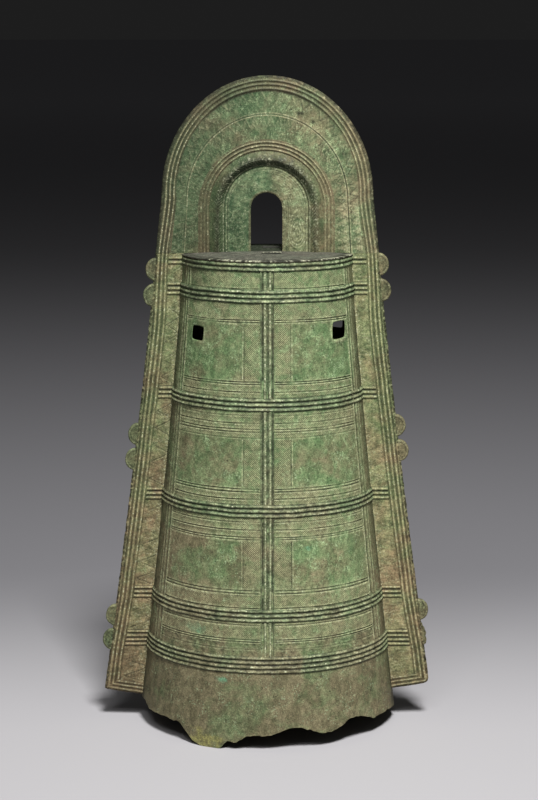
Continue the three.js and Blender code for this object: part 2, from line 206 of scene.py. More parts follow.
# The hem, as pairs: share of the half turn from right to left, share of the deepest break
FRONT_HEM = [
    (0, 0.55), (0.045, 0.5), (0.13, 0.73), (0.2, 0.7), (0.25, 1), (0.285, 1), (0.32, 0.7), (0.36, 0.58),
    (0.42, 0.95), (0.445, 0.95), (0.49, 0.67), (0.55, 0.6), (0.58, 0.3), (0.595, 0.4), (0.615, 0), (0.664, 0),
    (0.69, 0.2), (0.73, 0.8), (0.81, 0.84), (0.87, 0.8), (0.9, 1), (1, 0.9),
]
BACK_HEM = [
    (0, 0.55), (0.045, 0.5), (0.067, 0.36), (0.09, 0.14), (0.1, 0), (0.34, 0), (0.37, 0.3), (0.42, 0.24),
    (0.45, 0), (0.62, 0), (0.66, 0.42), (0.7, 0.5), (0.75, 0), (0.86, 0), (0.9, 0.5), (0.95, 0.86), (1, 0.9),
]
TURQUOISE_SPOTS = [(-108.0, 176.0, 19.0), (-69.0, 104.0, 9.0), (60.0, 300.0, 7.0), (88.0, 520.0, 6.0)]
YELLOW_SPOTS = [(-97.0, 6.0, 24.0), (-80.0, 14.0, 15.0), (-104.0, 26.0, 10.0)]
HEM_ZONE = 46.0  # below this height the rows of the wall bend to follow the hem


def lerp(a, b, t):
    return a + (b - a) * t


def smooth(low, high, value):
    t = np.clip((value - low) / (high - low), 0, 1)
    return t * t * (3 - 2 * t)


def near(distance, width):
    return np.exp(-((distance / width) ** 2))


def between(low, high, value, soft=1.0):
    return smooth(low - soft, low + soft, value) * (1 - smooth(high - soft, high + soft, value))


def value_noise(points, cell, seed):
    """Smooth noise from -1 to 1 at points (..., 3), with features about `cell` across."""
    scaled = points / cell + 17.3 * (seed + 1)
    low = np.floor(scaled).astype(np.int64)
    fraction = scaled - low
    fraction = fraction * fraction * (3 - 2 * fraction)
    total = np.zeros(points.shape[:-1])
    for corner in np.ndindex(2, 2, 2):
        h = ((low + corner) * np.array([73856093, 19349663, 83492791])).sum(-1) & 0xFFFFFFFF
        h = ((h ^ (h >> 15)) * 1103515245) & 0xFFFFFFFF
        h = ((h ^ (h >> 13)) * 1274126177) & 0xFFFFFFFF
        h = (h ^ (h >> 16)) & 0xFFFF
        weight = np.where(corner, fraction, 1 - fraction).prod(-1)
        total += weight * (h / 32767.5 - 1)
    return total


def cast_noise(points, scale, seed):
    """Unevenness of a cast and weathered surface, in millimetres."""
    total = 0.55 * value_noise(points, 60, seed) + 0.3 * value_noise(points, 19, seed + 1)
    total += 0.16 * value_noise(points, 7, seed + 2) + 0.12 * value_noise(points, 2.8, seed + 3)
    return scale * total


def mottled(points, level, *noises, low=0.0, high=1.0):
    """Level with noises added, each given as strength, cell and seed, kept between low and high."""
    for strength, cell, seed in noises:
        level = level + strength * value_noise(points, cell, seed)
    return np.clip(level, low, high)


def highest(*layers):
    return reduce(np.maximum, layers)


def points_at(x, y, z):
    return np.stack(np.broadcast_arrays(x, y, z), -1)


# Shape of the body, as in the solids
def spread(z):
    return np.maximum(1 - z / CROWN_HEIGHT, 0) ** FLARE_POWER


def half_width(z):
    return lerp(RIM_HALF_WIDTH, MOUTH_HALF_WIDTH, spread(z))


def half_depth(z):
    return lerp(RIM_HALF_DEPTH, MOUTH_HALF_DEPTH, spread(z))


def section(angle, z, grow, side):
    x = (half_width(z) + grow) * np.cos(angle) / ALMOND_COS
    y = side * (half_depth(z) + grow) * (np.sin(angle) - ALMOND) / (1 - ALMOND)
    return points_at(x, y, z)


def ring_angles(count):
    """Each side with its angles, for a ring that goes once round the section."""
    share = np.linspace(0, 1, count, endpoint=False)
    for side, turned in ((FRONT, share), (BACK, 1 - share)):
        yield side, lerp(START_ANGLE, math.pi - START_ANGLE, turned)


def angle_at_x(x, z):
    return np.arccos(np.clip(x * ALMOND_COS / half_width(z), -1, 1))


def angle_at_reach(reach, z):
    return np.arcsin(ALMOND + (1 - ALMOND) * reach / half_depth(z))


def ridge_wave(distance, spacing, count):
    """1 along each crest and 0 in each groove of `count` ridges side by side."""
    phase = distance / spacing
    wave = np.abs(np.sin(np.pi * phase)) ** 1.3
    return np.where((phase > 0) & (phase < count), wave, 0.0)


def ridge_shade(distance, spacing, count, lean=0.06):
    """How dark each groove and the underside of the ridge above it are, as grime and painted shade, leaning to
    one side, and how bare the upper side of each crest is, with a painted highlight.
    """
    phase = distance / spacing
    off_groove = np.abs((phase - lean + 0.5) % 1 - 0.5)
    off_crest = np.abs((phase - 0.56) % 1 - 0.5)
    dark = 1 - smooth(0.1, 0.33, off_groove)
    inside = (phase > -0.1) & (phase < count + 0.1)
    return dark * inside, smooth(0.3, 0.5, off_crest) * ((phase > 0) & (phase < count))


# Meshes
def mesh_piece(name, points, faces, layers):
    mesh = bpy.data.meshes.new(name)
    mesh.from_pydata((points * MM).tolist(), [], faces)
    for key, values in layers.items():
        kind, field = ("FLOAT", "value") if values.ndim == 1 else ("FLOAT_VECTOR", "vector")
        layer = mesh.attributes.new(key, kind, "POINT")
        layer.data.foreach_set(field, values.astype(np.float32).ravel())
    mesh.polygons.foreach_set("use_smooth", np.ones(len(mesh.polygons), bool))
    mesh.set_sharp_from_angle(angle=math.radians(50))
    piece = bpy.data.objects.new(name, mesh)
    bpy.context.scene.collection.objects.link(piece)
    return piece


def sweep(name, outlines, is_ring=False, **layers):
    """Closed mesh through closed outlines of equal length, from an array of rows, points and 3 numbers."""
    rows, size = outlines.shape[:2]
    index = np.arange(rows * size).reshape(rows, size)
    after = np.roll(index, -1, axis=1)
    if is_ring:
        next_index, next_after = np.roll(index, -1, axis=0), np.roll(after, -1, axis=0)
    else:
        index, after, next_index, next_after = index[:-1], after[:-1], index[1:], after[1:]
    quads = np.stack([index, after, next_after, next_index], -1).reshape(-1, 4)
    points = outlines.reshape(-1, 3)
    a, b, c, d = (points[quads[:, i]] for i in range(4))
    volume = (a * np.cross(b, c) + a * np.cross(c, d)).sum()
    faces = quads.tolist()
    if not is_ring:
        first = list(range(size))
        last = list(range((rows - 1) * size, rows * size))
        faces += [first[::-1], last]
    if volume < 0:
        faces = [face[::-1] for face in faces]
    flat = {}
    for key, values in layers.items():
        width = values.shape[2:]
        flat[key] = np.broadcast_to(values, (rows, size) + width).reshape((-1,) + width)
    return mesh_piece(name, points, faces, flat)


def widen(values, grid):
    return np.broadcast_to(values, grid.shape[:2] + values.shape[2:])


def shell(name, outer, inner, hidden, **layers):
    """Closed skin whose layers belong to the outer points. The inner ones get what `hidden` holds, or 0."""
    full = {}
    for key, values in layers.items():
        lining = np.full(inner.shape[:2] + values.shape[2:], hidden.get(key, 0.0))
        full[key] = np.concatenate([widen(values, outer), lining], 1)
    return sweep(name, np.concatenate([outer, inner], 1), **full)


def sheet(name, flat, half, cast, seed, shift, ragged=0.0, **layers):
    """Sheet from points in the plane of the fins and half thicknesses, with the same layers on both faces."""
    grids = []
    for side in (FRONT, BACK):
        y = side * (half + cast_noise(flat + [0, shift * side, 0], cast, seed))
        grid = points_at(flat[..., 0], y, flat[..., 2])
        grid[:, :1, 0] += ragged
        grids.append(grid)
    outlines = np.concatenate([grids[0], grids[1][:, ::-1]], 1)
    both = {}
    for key, values in layers.items():
        values = widen(values, flat)
        both[key] = np.concatenate([values, values[:, ::-1]], 1)
    return sweep(name, outlines, **both)


def weld(piece, distance=0.01):
    build = bmesh.new()
    build.from_mesh(piece.data)
    bmesh.ops.remove_doubles(build, verts=build.verts, dist=distance * MM)
    build.to_mesh(piece.data)
    build.free()


def cut(piece, prisms):
    """Cuts prisms out of a piece, each given by its outlines."""
    # the walls that a cut leaves take the full groove layer: painted shade inside the holes and slots
    cutters = [sweep("cutter", np.array(outlines), groove=np.ones((1, 1))) for outlines in prisms]
    for cutter in cutters:
        modifier = piece.modifiers.new("cut", "BOOLEAN")
        modifier.operation = "DIFFERENCE"
        modifier.solver = "EXACT"
        modifier.object = cutter
    depsgraph = bpy.context.evaluated_depsgraph_get()
    result = piece.evaluated_get(depsgraph)
    mesh = bpy.data.meshes.new_from_object(result, preserve_all_data_layers=True, depsgraph=depsgraph)
    piece.modifiers.clear()
    piece.data = mesh
    for cutter in cutters:
        bpy.data.objects.remove(cutter)


def hole_outline(size, seed):
    """Uneven, rounded rectangle round a cast hole."""
    turn = np.linspace(0, 2 * math.pi, 40, endpoint=False)
    circle = np.column_stack([np.cos(turn), np.sin(turn)])
    flat = np.copysign(np.abs(circle) ** (1 / 3), circle) * np.array(size) / 2
    wobble = value_noise(points_at(flat[:, 0], flat[:, 1], seed * 31.0), 6, seed)
    return flat * (1 + 0.035 * wobble)[:, None]


# Materials
def srgb(r, g, b):
    shares = [c / 255 for c in (r, g, b)]
    return tuple(c / 12.92 if c <= 0.04 else ((c + 0.055) / 1.055) ** 2.4 for c in shares) + (1.0,)


class Graph:
    """Small helper that adds shader nodes and joins them."""

    def __init__(self, name):
        self.material = bpy.data.materials.new(name)
        self.material.use_nodes = True
        self.tree = self.material.node_tree
        self.tree.nodes.clear()
        self.output = self.add("ShaderNodeOutputMaterial")
        self.shader = self.add("ShaderNodeBsdfPrincipled")
        self.tree.links.new(self.shader.outputs[0], self.output.inputs[0])
        self.place = self.add("ShaderNodeTexCoord").outputs["Object"]

    def add(self, kind, **props):
        node = self.tree.nodes.new(kind)
        for key, value in props.items():
            setattr(node, key, value)
        return node

    def put(self, socket, value):
        if isinstance(value, bpy.types.NodeSocket):
            self.tree.links.new(value, socket)
        else:
            socket.default_value = value

    def math(self, operation, a, b=0.0, clamp=False):
        node = self.add("ShaderNodeMath", operation=operation, use_clamp=clamp)
        self.put(node.inputs[0], a)
        self.put(node.inputs[1], b)
        return node.outputs[0]

    def times(self, *values):
        return reduce(lambda a, b: self.math("MULTIPLY", a, b), values)

    def plus(self, a, b, clamp=False):
        return self.math("ADD", a, b, clamp)

    def split(self, vector):
        node = self.add("ShaderNodeSeparateXYZ")
        self.put(node.inputs[0], vector)
        return node.outputs

    def layer(self, name, output="Fac"):
        return self.add("ShaderNodeAttribute", attribute_name=name).outputs[output]

    def remap(self, value, low, high, to_low=0.0, to_high=1.0):
        node = self.add("ShaderNodeMapRange", interpolation_type="SMOOTHSTEP")
        for socket, number in zip(node.inputs, (value, low, high, to_low, to_high)):
            self.put(socket, number)
        return node.outputs[0]

    def mix(self, factor, a, b, blend="MIX"):
        node = self.add("ShaderNodeMix", data_type="RGBA", blend_type=blend)
        self.put(node.inputs["Factor"], factor)
        self.put(node.inputs[6], a)
        self.put(node.inputs[7], b)
        return node.outputs[2]

    def swing(self, value, amount):
        return self.remap(value, 0.3, 0.7, 1 - amount, 1 + amount)

    def tint(self, colour, tone):
        grey = self.add("ShaderNodeCombineColor")
        for socket in grey.inputs[:3]:
            self.put(socket, tone)
        return self.mix(1.0, colour, grey.outputs[0], "MULTIPLY")

    def noise(self, cell, detail=3.0, roughness=0.55, distortion=0.0, stretch=(1, 1, 1), offset=0.0):
        mapping = self.add("ShaderNodeMapping")
        self.put(mapping.inputs["Vector"], self.place)
        mapping.inputs["Scale"].default_value = stretch
        mapping.inputs["Location"].default_value = (offset, offset * 0.7, offset * 1.3)
        node = self.add("ShaderNodeTexNoise")
        self.put(node.inputs["Vector"], mapping.outputs[0])
        node.inputs["Scale"].default_value = 1 / (cell * MM)
        node.inputs["Detail"].default_value = detail
        node.inputs["Roughness"].default_value = roughness
        node.inputs["Distortion"].default_value = distortion
        return node.outputs[0]

    def surface(self, colour, roughness, specular):
        self.put(self.shader.inputs["Base Color"], colour)
        self.put(self.shader.inputs["Roughness"], roughness)
        self.shader.inputs["Specular IOR Level"].default_value = specular


MINT = srgb(158, 182, 134)
PALE = srgb(198, 195, 148)
CHALK = srgb(224, 228, 190)
SPECK = srgb(170, 190, 148)
# dark soot; through the groove layer it also paints shade
SOOT_AND_SHADE = srgb(25, 27, 17)
MOSS = srgb(50, 76, 48)
BROWN = srgb(110, 98, 74)
TURQUOISE = srgb(104, 158, 122)
YELLOW = srgb(158, 154, 94)
LATTICE_PITCH = 2.9

# Patinas: two greens, two tans, and the share of tan at the hem and at the crown. The entry for the sides holds
# how far the change from left to right reaches, the tone on the left and on the right, which is painted shade
# on the left and painted light on the right, and how much tan each has more.
# by default a little painted shade on the left and painted light on the right, with no change of tan
DEFAULT_SIDE_LIGHT = (0.24, 0.89, 1.08, 0.0, 0.0)
LOOKS = {
    "wall_patina": dict(
        greens=(srgb(117, 136, 94), srgb(86, 111, 72)),
        tans=(srgb(130, 122, 93), srgb(102, 97, 71)), warm=(0.98, 0.16),
        mint=0.75, stains=0.5, rubbed_and_lit=srgb(184, 186, 142), pale=0.75, mottle=0.12,
        side_light_and_tan=(0.2, 0.87, 1.13, 0.08, -0.25), lattice=True,
    ),
    "ridge_patina": dict(
        greens=(srgb(116, 132, 95), srgb(84, 102, 70)),
        tans=(srgb(128, 123, 94), srgb(98, 94, 69)), warm=(0.75, 0.2),
        mint=0.4, stains=0.7,
        rubbed_and_lit=srgb(180, 182, 144), pale=0.62, chalk=1.0, rough=(0.35, 0.24), mottle=0.34,
    ),
    "fin_bronze": dict(
        greens=(srgb(128, 136, 94), srgb(90, 103, 67)),
        tans=(srgb(150, 129, 97), srgb(108, 95, 69)), warm=(1.0, 0.22),
        mint=0.3, stains=0.45, rubbed_and_lit=srgb(184, 176, 134), pale=0.6, rough=(0.28, 0.15), mottle=0.16,
        side_light_and_tan=(0.24, 0.89, 1.1, 0.0, -0.2),
    ),
    "ring_bronze": dict(
        greens=(srgb(80, 92, 63), srgb(58, 73, 47)),
        tans=(srgb(102, 92, 68), srgb(75, 71, 52)), warm=(0.4, 0.4),
        mint=0.2, stains=0.5,
        rubbed_and_lit=srgb(176, 178, 146), pale=0.8, chalk=1.0, side_light_and_tan=(0.09, 0.92, 1.4, -0.4, 0.3),
    ),
    "loop_patina": dict(
        greens=(srgb(91, 109, 76), srgb(63, 83, 54)),
        tans=(srgb(113, 104, 78), srgb(83, 78, 57)), warm=(0.3, 0.3),
        mint=0.4, stains=0.5, rubbed_and_lit=srgb(182, 174, 136), pale=0.75, rough=(0.24, 0.08), mottle=0.08,
        side_light_and_tan=(0.15, 0.74, 1.58, -0.2, 0.35),
    ),
    "inner_patina": dict(
        greens=(srgb(104, 124, 88), srgb(66, 92, 62)),
        tans=(srgb(124, 118, 88), srgb(88, 88, 64)), warm=(0.15, 0.15),
        mint=0.5, stains=0.3, rubbed_and_lit=srgb(160, 164, 124), pale=0.75, rough=(0.24, 0.1), mottle=0.07,
        side_light_and_tan=(0.06, 0.74, 1.2, -0.2, 0.5),
    ),
    "ear_patina": dict(
        greens=(srgb(100, 106, 75), srgb(72, 80, 55)),
        tans=(srgb(114, 106, 78), srgb(84, 80, 58)), warm=(0.4, 0.35),
        mint=0.3, stains=0.6,
        rubbed_and_lit=srgb(140, 140, 104), rough=(0.3, 0.16), mottle=0.26, side_light_and_tan=(0.2, 0.95, 1.08, -0.1, 0.4),
    ),
    "crown_bronze": dict(
        greens=(srgb(88, 91, 78), srgb(70, 73, 63)),
        tans=(srgb(94, 90, 80), srgb(74, 71, 64)), warm=(0.5, 0.5),
        mint=0.05, stains=0.6, rubbed_and_lit=srgb(190, 190, 160), pale=0.6, chalk=1.0, mottle=0.16,
    ),
}


def bronze(
    name, greens, tans, warm, mint, stains, rubbed_and_lit, pale=0.5, chalk=0.6, rough=(0.28, 0.19), mottle=0.1,
    side_light_and_tan=DEFAULT_SIDE_LIGHT, lattice=False,
):
    """Patina on bronze: patches of green and tan, grain, mint bloom, stains, painted light and shade, and the
    marks in the layers.
    """
    g = Graph(name)
    place = g.split(g.place)
    reach, left_painted_shade, right_painted_light, left_tan, right_tan = side_light_and_tan
    grain = g.noise(5, 4, 0.65, offset=7.0)
    fine = g.noise(1.7, 2, 0.6, offset=11.0)
    tan_share = g.remap(place["Z"], 0.03, 0.62, *warm)
    tan_share = g.plus(tan_share, g.remap(place["X"], -reach, reach, left_tan, right_tan))
    tan_share = g.plus(tan_share, g.remap(g.noise(80, 4, 0.6, 0.5), 0.3, 0.7, -0.5, 0.5))
    patches = g.noise(26, 5, 0.62, 0.9, offset=3.0)
    tan_share = g.plus(tan_share, g.remap(patches, 0.3, 0.7, -0.25, 0.25), clamp=True)
    depth = g.remap(g.noise(17, 6, 0.66, 1.0, stretch=(1, 1, 0.6), offset=13.0), 0.36, 0.64)
    colour = g.mix(tan_share, g.mix(depth, *greens), g.mix(depth, *tans))
    colour = g.mix(g.times(g.layer("brown"), 0.8), colour, BROWN)
    colour = g.mix(g.times(g.layer("moss"), g.remap(grain, 0.3, 0.65, 1.0, 0.4)), colour, MOSS)
    bloom = g.remap(g.noise(30, 7, 0.7, 1.4, offset=17.0), 0.52, 0.68)
    bloom = g.times(bloom, g.remap(place["Z"], 0.1, 0.2, 0.25, 1.0))
    colour = g.mix(g.times(bloom, g.remap(fine, 0.4, 0.6, 0.1 * mint, 0.95 * mint)), colour, MINT)
    cluster = g.remap(g.noise(24, 3, 0.6, 0.6, offset=43.0), 0.5, 0.6)
    cluster = g.times(cluster, g.remap(g.noise(2.6, 2, 0.5, offset=47.0), 0.56, 0.66))
    colour = g.mix(g.times(cluster, 0.65 * mint), colour, SPECK)
    share = g.remap(grain, 0.3, 0.7, 0.35, 0.9)
    for spot, paint in (("turquoise", TURQUOISE), ("yellow", YELLOW)):
        colour = g.mix(g.times(g.layer(spot), share), colour, paint)
    stain = g.remap(g.noise(13, 6, 0.7, 0.8, offset=29.0), 0.52, 0.74, 0, 0.7 * stains)
    colour = g.mix(stain, colour, SOOT_AND_SHADE)
    bump = g.plus(g.times(grain, 0.5), g.times(fine, 0.35))
    if lattice:
        colour, strokes = lattice_marks(g, colour)
        bump = g.plus(bump, g.times(strokes, 0.3))
    tone = g.times(
        g.swing(fine, rough[0]),
        g.swing(grain, rough[1]),
        g.swing(g.noise(11, 4, 0.6, 0.6, offset=41.0), mottle),
        # painted shade on the left and painted light on the right
        g.remap(place["X"], -reach, reach, left_painted_shade, right_painted_light),
        # brighter low on the body, painted light where the lamps above reach less, and darker towards the hem
        g.remap(place["Z"], 0.25, 0.6, 1.11, 1.0),
        g.remap(place["Z"], 0.08, 0.16, 0.83, 1.0),
    )
    colour = g.tint(colour, tone)
    colour = g.mix(g.remap(fine, 0.66, 0.78, 0, 0.5), colour, PALE)
    colour = g.mix(g.remap(g.noise(3.4, 2, 0.5, offset=23.0), 0.27, 0.34, 0.7, 0.0), colour, SOOT_AND_SHADE)
    crest = g.layer("crest")
    # the crest layer holds worn metal and painted highlights
    bare_and_lit = g.times(crest, g.remap(grain, 0.32, 0.62, 0.3, 1.0), pale)
    colour = g.mix(bare_and_lit, colour, g.tint(rubbed_and_lit, tone))
    specks = g.remap(g.noise(3.0, 2, 0.5, offset=37.0), 0.56, 0.64)
    colour = g.mix(g.times(crest, specks, chalk), colour, CHALK)
    # soot in the grooves, and painted shade where the groove layer holds it
    darkness = g.times(g.layer("groove"), g.remap(grain, 0.3, 0.7, 1.0, 0.8), 0.94)
    colour = g.mix(darkness, colour, SOOT_AND_SHADE)
    g.surface(colour, g.remap(grain, 0.3, 0.7, 0.56, 0.82), 0.22)
    relief = g.add("ShaderNodeBump")
    relief.inputs["Strength"].default_value = 0.9
    relief.inputs["Distance"].default_value = 1.1 * MM
    g.put(relief.inputs["Height"], bump)
    g.put(g.shader.inputs["Normal"], relief.outputs[0])
    return g.material


def lattice_marks(g, colour):
    """Fine crossed lines where the lattice layer is, with how strongly each point is on one."""
    mask = g.layer("lattice")
    pattern = g.split(g.layer("pattern", "Vector"))
    strokes = 0.0
    for slope in ("ADD", "SUBTRACT"):
        wave = g.math("PINGPONG", g.math(slope, pattern["X"], pattern["Y"]), LATTICE_PITCH / 2)
        strokes = g.math("MAXIMUM", strokes, g.remap(wave, LATTICE_PITCH * 0.22, LATTICE_PITCH * 0.5))
    wear = g.remap(g.noise(12, 4, 0.6, offset=31.0), 0.36, 0.6, 0.15, 1.0)
    strokes = g.times(strokes, mask, wear)
    cells = g.times(g.math("SUBTRACT", mask, strokes, clamp=True), g.times(wear, 0.5))
    colour = g.mix(cells, colour, SOOT_AND_SHADE)
    return g.mix(g.times(strokes, 0.55), colour, PALE), strokes


MATERIALS = {name: bronze(name, **look) for name, look in LOOKS.items()}


def done(piece, node, look):
    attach(piece, "root")
    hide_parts(node)
    piece.data.materials.clear()
    piece.data.materials.append(MATERIALS[look])


# Walls
def column_angles(z):
    """Angles of the wall's columns at each height, closer together beside its upright lines."""
    border = strip_border(z)
    knots = [
        np.full_like(z, START_ANGLE),
        angle_at_x(half_width(z) - 4.0, z),
        angle_at_x(half_width(z) - 26.0, z),
        angle_at_x(border + 3.2, z),
        angle_at_x(border - 3.2, z),
        angle_at_x(np.full_like(z, 12.0), z),
        np.full_like(z, math.pi / 2),
    ]
    counts = [8, 30, 34, 7, 7, 4]
    columns = []
    for start, end, count in zip(knots, knots[1:], counts):
        columns += [lerp(start, end, i / count) for i in range(count)]
    half = np.stack(columns)
    middle = knots[-1][None]
    return np.concatenate([half, middle, math.pi - half[::-1]])


def strip_border(z):
    return PANEL_BORDER + PANEL_BORDER_GAIN * (CROWN_HEIGHT - z)


def wall_levels():
    """Heights of the wall's rows, closer together beside its lines."""
    levels = set(np.arange(0, HEM_ZONE, 2.2)) | set(np.arange(HEM_ZONE, WALL_TOP, 3.0)) | {WALL_TOP}
    for height, _ in WALL_LINES:
        levels = {z for z in levels if abs(z - height) > 2.2}
    for height, _ in WALL_LINES:
        levels |= {height + step for step in (-2.0, -1.3, -0.65, 0.0, 0.65, 1.3, 2.0)}
    levels = np.array(sorted(levels))
    keep = np.concatenate([[True], np.diff(levels) > 0.3])
    return levels[keep]


def engraved_lines(points, weight):
    """How deep in a line round the body each point is, and how high on the lips beside it."""
    x, z = points[..., 0], points[..., 2]
    groove, crest = np.zeros_like(z), np.zeros_like(z)
    for height, strength in WALL_LINES:
        level = height + 0.5 * value_noise(points * [1, 1, 0], 45, int(height))
        above = z - level + 0.012 * np.abs(x) * (strength - 0.5)
        depth = strength * weight
        groove = highest(groove, depth * near(above, 0.85))
        crest = highest(crest, 0.6 * depth * near(above - 1.6, 0.75), 0.9 * depth * near(above + 1.6, 0.8))
    return groove, crest


def wall_painted_shade(points, from_side):
    """Painted shade beside the fins and at the left of the shoulder."""
    x, z = points[..., 0], points[..., 2]
    darkness = 0.5 * (1 - smooth(2.0, 7.0, from_side)) + 0.25 * (1 - smooth(5.0, 12.0, from_side))
    darkness = darkness * (1 - 0.6 * smooth(600.0, 680.0, z)) * (0.8 + 0.4 * value_noise(points, 14, 7))
    shaded = 0.35 * smooth(60.0, 100.0, -x) * between(676.0, 712.0, z, 6.0) * smooth(13.0, 17.0, from_side)
    return highest(darkness, shaded * (1 + 0.3 * value_noise(points, 12, 9)))


def wall_brown(points, from_side):
    """Tan beside the fins, which reaches further in at the lower right."""
    x, z = points[..., 0], points[..., 2]
    narrow = np.where(x > 0, 0.75, 0.3) * (1 - smooth(6.0, 16.0, from_side))
    ragged = from_side + 10 * value_noise(points, 20, 10)
    wide = 0.45 * (x > 0) * (1 - smooth(14.0, 48.0, ragged)) * (1 - smooth(500.0, 560.0, z))
    return highest(narrow, wide)


def wall_relief(points, arc, from_side):
    """Height of the relief, how deep in a groove and how high on a crest each point is, and the lattice. The
    groove layer also holds painted shade beside the fins, and the crest layer a painted highlight on the holes'
    rims.
    """
    x, z = points[..., 0], points[..., 2]
    fallen = 1 - z / CROWN_HEIGHT
    side_lines = [inset + gain * fallen for inset, gain, _ in SIDE_LINES]
    upright_zone = between(BAND_SPANS["foot"][1], BAND_SPANS["rim"][0], z)
    out_of_upright = smooth(UPRIGHT_WIDTH / 2, UPRIGHT_WIDTH / 2 + 1.5, np.abs(x))
    field = out_of_upright * smooth(0.0, 1.5, from_side - side_lines[0])
    worn = 0.85 + 0.5 * value_noise(points * [1, 1, 0.15], 28, 5) + 0.35 * value_noise(points, 9, 6)
    worn = np.clip(worn, 0.12, 1.1)
    groove, crest = engraved_lines(points, worn * field)
    for place, (_, _, strength) in zip(side_lines, SIDE_LINES):
        distance = from_side - place
        depth = upright_zone * strength * np.clip(worn + 0.2, 0, 1)
        crest = highest(crest, depth * near(distance, 0.85))
        groove = highest(groove, 0.75 * depth * near(distance + 1.7, 0.8))
    groove = highest(groove, wall_painted_shade(points, from_side))
    lattice = highest(*[between(low, high, z) * field for low, high in LATTICE_STRIPS])
    border = np.abs(x) - strip_border(z)
    dashes = 0.75 + 0.4 * value_noise(points * [0, 0, 1], 5, 8)
    for low, high in PANELS:
        in_panel = between(low, high, z)
        lattice = highest(lattice, in_panel * (1 - smooth(-1.5, -0.5, border)) * out_of_upright)
        crest = highest(crest, 0.8 * in_panel * worn * near(border - 1.0, 0.8))
        groove = highest(groove, in_panel * worn * dashes * near(border + 0.7, 0.8))
    for hand, (hole_x, hole_z, hole_width, hole_height) in HOLES.items():
        dx = (x - hole_x) / (hole_width / 2 + HOLE_RIM)
        dz = (z - hole_z) / (hole_height / 2 + HOLE_RIM)
        around = (np.abs(dx) ** 5 + np.abs(dz) ** 5) ** 0.2
        # painted highlight on the lower and inner side of each hole's rim
        lit = smooth(-0.8, 0.6, -dz - hand * dx) * np.clip(worn, 0, 1)
        crest = highest(crest, 0.6 * near(around - 1, 0.12) * lit)
        groove = highest(groove, 0.35 * near(around - 1.3, 0.18) * worn)
    low, high = SAWTOOTH_STRIP
    teeth = sawtooth_lines(arc, z - low, 15.0, high - low) * between(low, high, z) * field
    side_teeth = sawtooth_lines(z, (side_lines[2] - 1.5 - from_side) * 2.4, 22.0, 26.0) * upright_zone
    groove = highest(groove, 0.75 * highest(teeth, 0.6 * side_teeth) * np.clip(worn, 0, 1))
    height = 0.85 * crest - 0.5 * groove * (from_side > 8)
    return height, groove, crest, lattice


def spots(points, places, seed):
    """Share of a ragged spot at each of `places`, as across, height and radius."""
    total = np.zeros(points.shape[:-1])
    ragged = 0.45 * value_noise(points, 9, seed) + 0.3 * value_noise(points, 3.5, seed + 1)
    for across, height, radius in places:
        distance = np.hypot(points[..., 0] - across, (points[..., 2] - height) * 1.8) / radius
        total = np.maximum(total, 1 - smooth(0.35, 1.0, distance + ragged))
    return total


def sawtooth_lines(along, across, pitch, width):
    """Zigzag of triangles, every second one filled with strokes: 1 on a line, 0 off it."""
    phase = (along / pitch) % 1.0
    edge = np.abs(phase - 0.5) * 2 * width
    outline = near((across - edge) * 0.7, 1.0)
    strokes = near(((across - edge) % 4.5) - 2.25, 0.8) * (across > edge)
    return np.maximum(outline, 0.8 * strokes) * ((across > 0) & (across < width))


def hem_line(angles, side):
    """Heights of the broken hem at the angles of the columns, and how far its inner edge is chipped."""
    table = FRONT_HEM if side == FRONT else BACK_HEM
    hem = HEM_BREAK * np.interp(angles / math.pi, *np.array(table, float).T)
    points = section(angles, 0.0, 0.0, side)
    chipped = np.clip(hem / 6, 0, 1)
    hem = hem + chipped * (1.4 * value_noise(points, 7, 21) + 0.9 * value_noise(points, 3, 22))
    return np.maximum(hem, FLOOR_GAP), 1.5 * value_noise(points, 9, 23) * chipped


def wall(side):
    levels = wall_levels()
    angles = column_angles(levels)
    hem, chips = hem_line(column_angles(np.array([20.0]))[:, 0], side)
    z = np.where(levels < HEM_ZONE, lerp(hem[:, None], HEM_ZONE, levels / HEM_ZONE), levels)
    base = section(angles, z, 0.0, side)
    steps = np.linalg.norm(np.diff(base, axis=0), axis=-1)
    arc = np.concatenate([np.zeros((1, len(levels))), np.cumsum(steps, axis=0)])
    arc = arc[len(arc) // 2] - arc
    from_side = half_width(z) - np.abs(base[..., 0])
    height, groove, crest, lattice = wall_relief(base, arc, from_side)
    outer = section(angles, z, height + cast_noise(base, 0.75, 40), side)
    last = len(levels) - 1
    rows = [i for i in range(last, -1, -1) if i % 9 == 0 or i in (last, 1, 2)]
    inner_angles, inner_z = angles[:, rows], z[:, rows]
    inner_z[:, -1] = np.maximum(inner_z[:, -1] + chips, FLOOR_GAP)
    lining = section(inner_angles, inner_z, -WALL_THICK, side)
    inner = section(inner_angles, inner_z, cast_noise(lining, 0.6, 60) - WALL_THICK, side)
    piece = shell(
        f"cast_wall_{SIDE_NAMES[side]}", outer, inner, {"brown": 1.0},
        groove=groove, crest=crest, lattice=lattice, brown=wall_brown(base, from_side),
        turquoise=spots(base, TURQUOISE_SPOTS, 30) * (side == FRONT),
        yellow=spots(base, YELLOW_SPOTS, 32) * (side == FRONT),
        pattern=points_at(arc, z, 0),
    )
    prisms = []
    for hand, (hole_x, hole_z, *hole_size) in HOLES.items():
        flat = hole_outline(hole_size, 3 + hand + 2 * side)
        if hand == LEFT:
            c, s = math.cos(HOLE_TURN), math.sin(HOLE_TURN)
            flat = flat @ np.array([[c, -s], [s, c]])
            hole_z += LEFT_BACK_HOLE_RISE * (side == BACK)
        prisms.append([points_at(hole_x + flat[:, 0], side * y, hole_z + flat[:, 1]) for y in HOLE_CUT])
    cut(piece, prisms)
    done(piece, f"wall_{SIDE_NAMES[side]}", "wall_patina")


for side in (FRONT, BACK):
    wall(side)


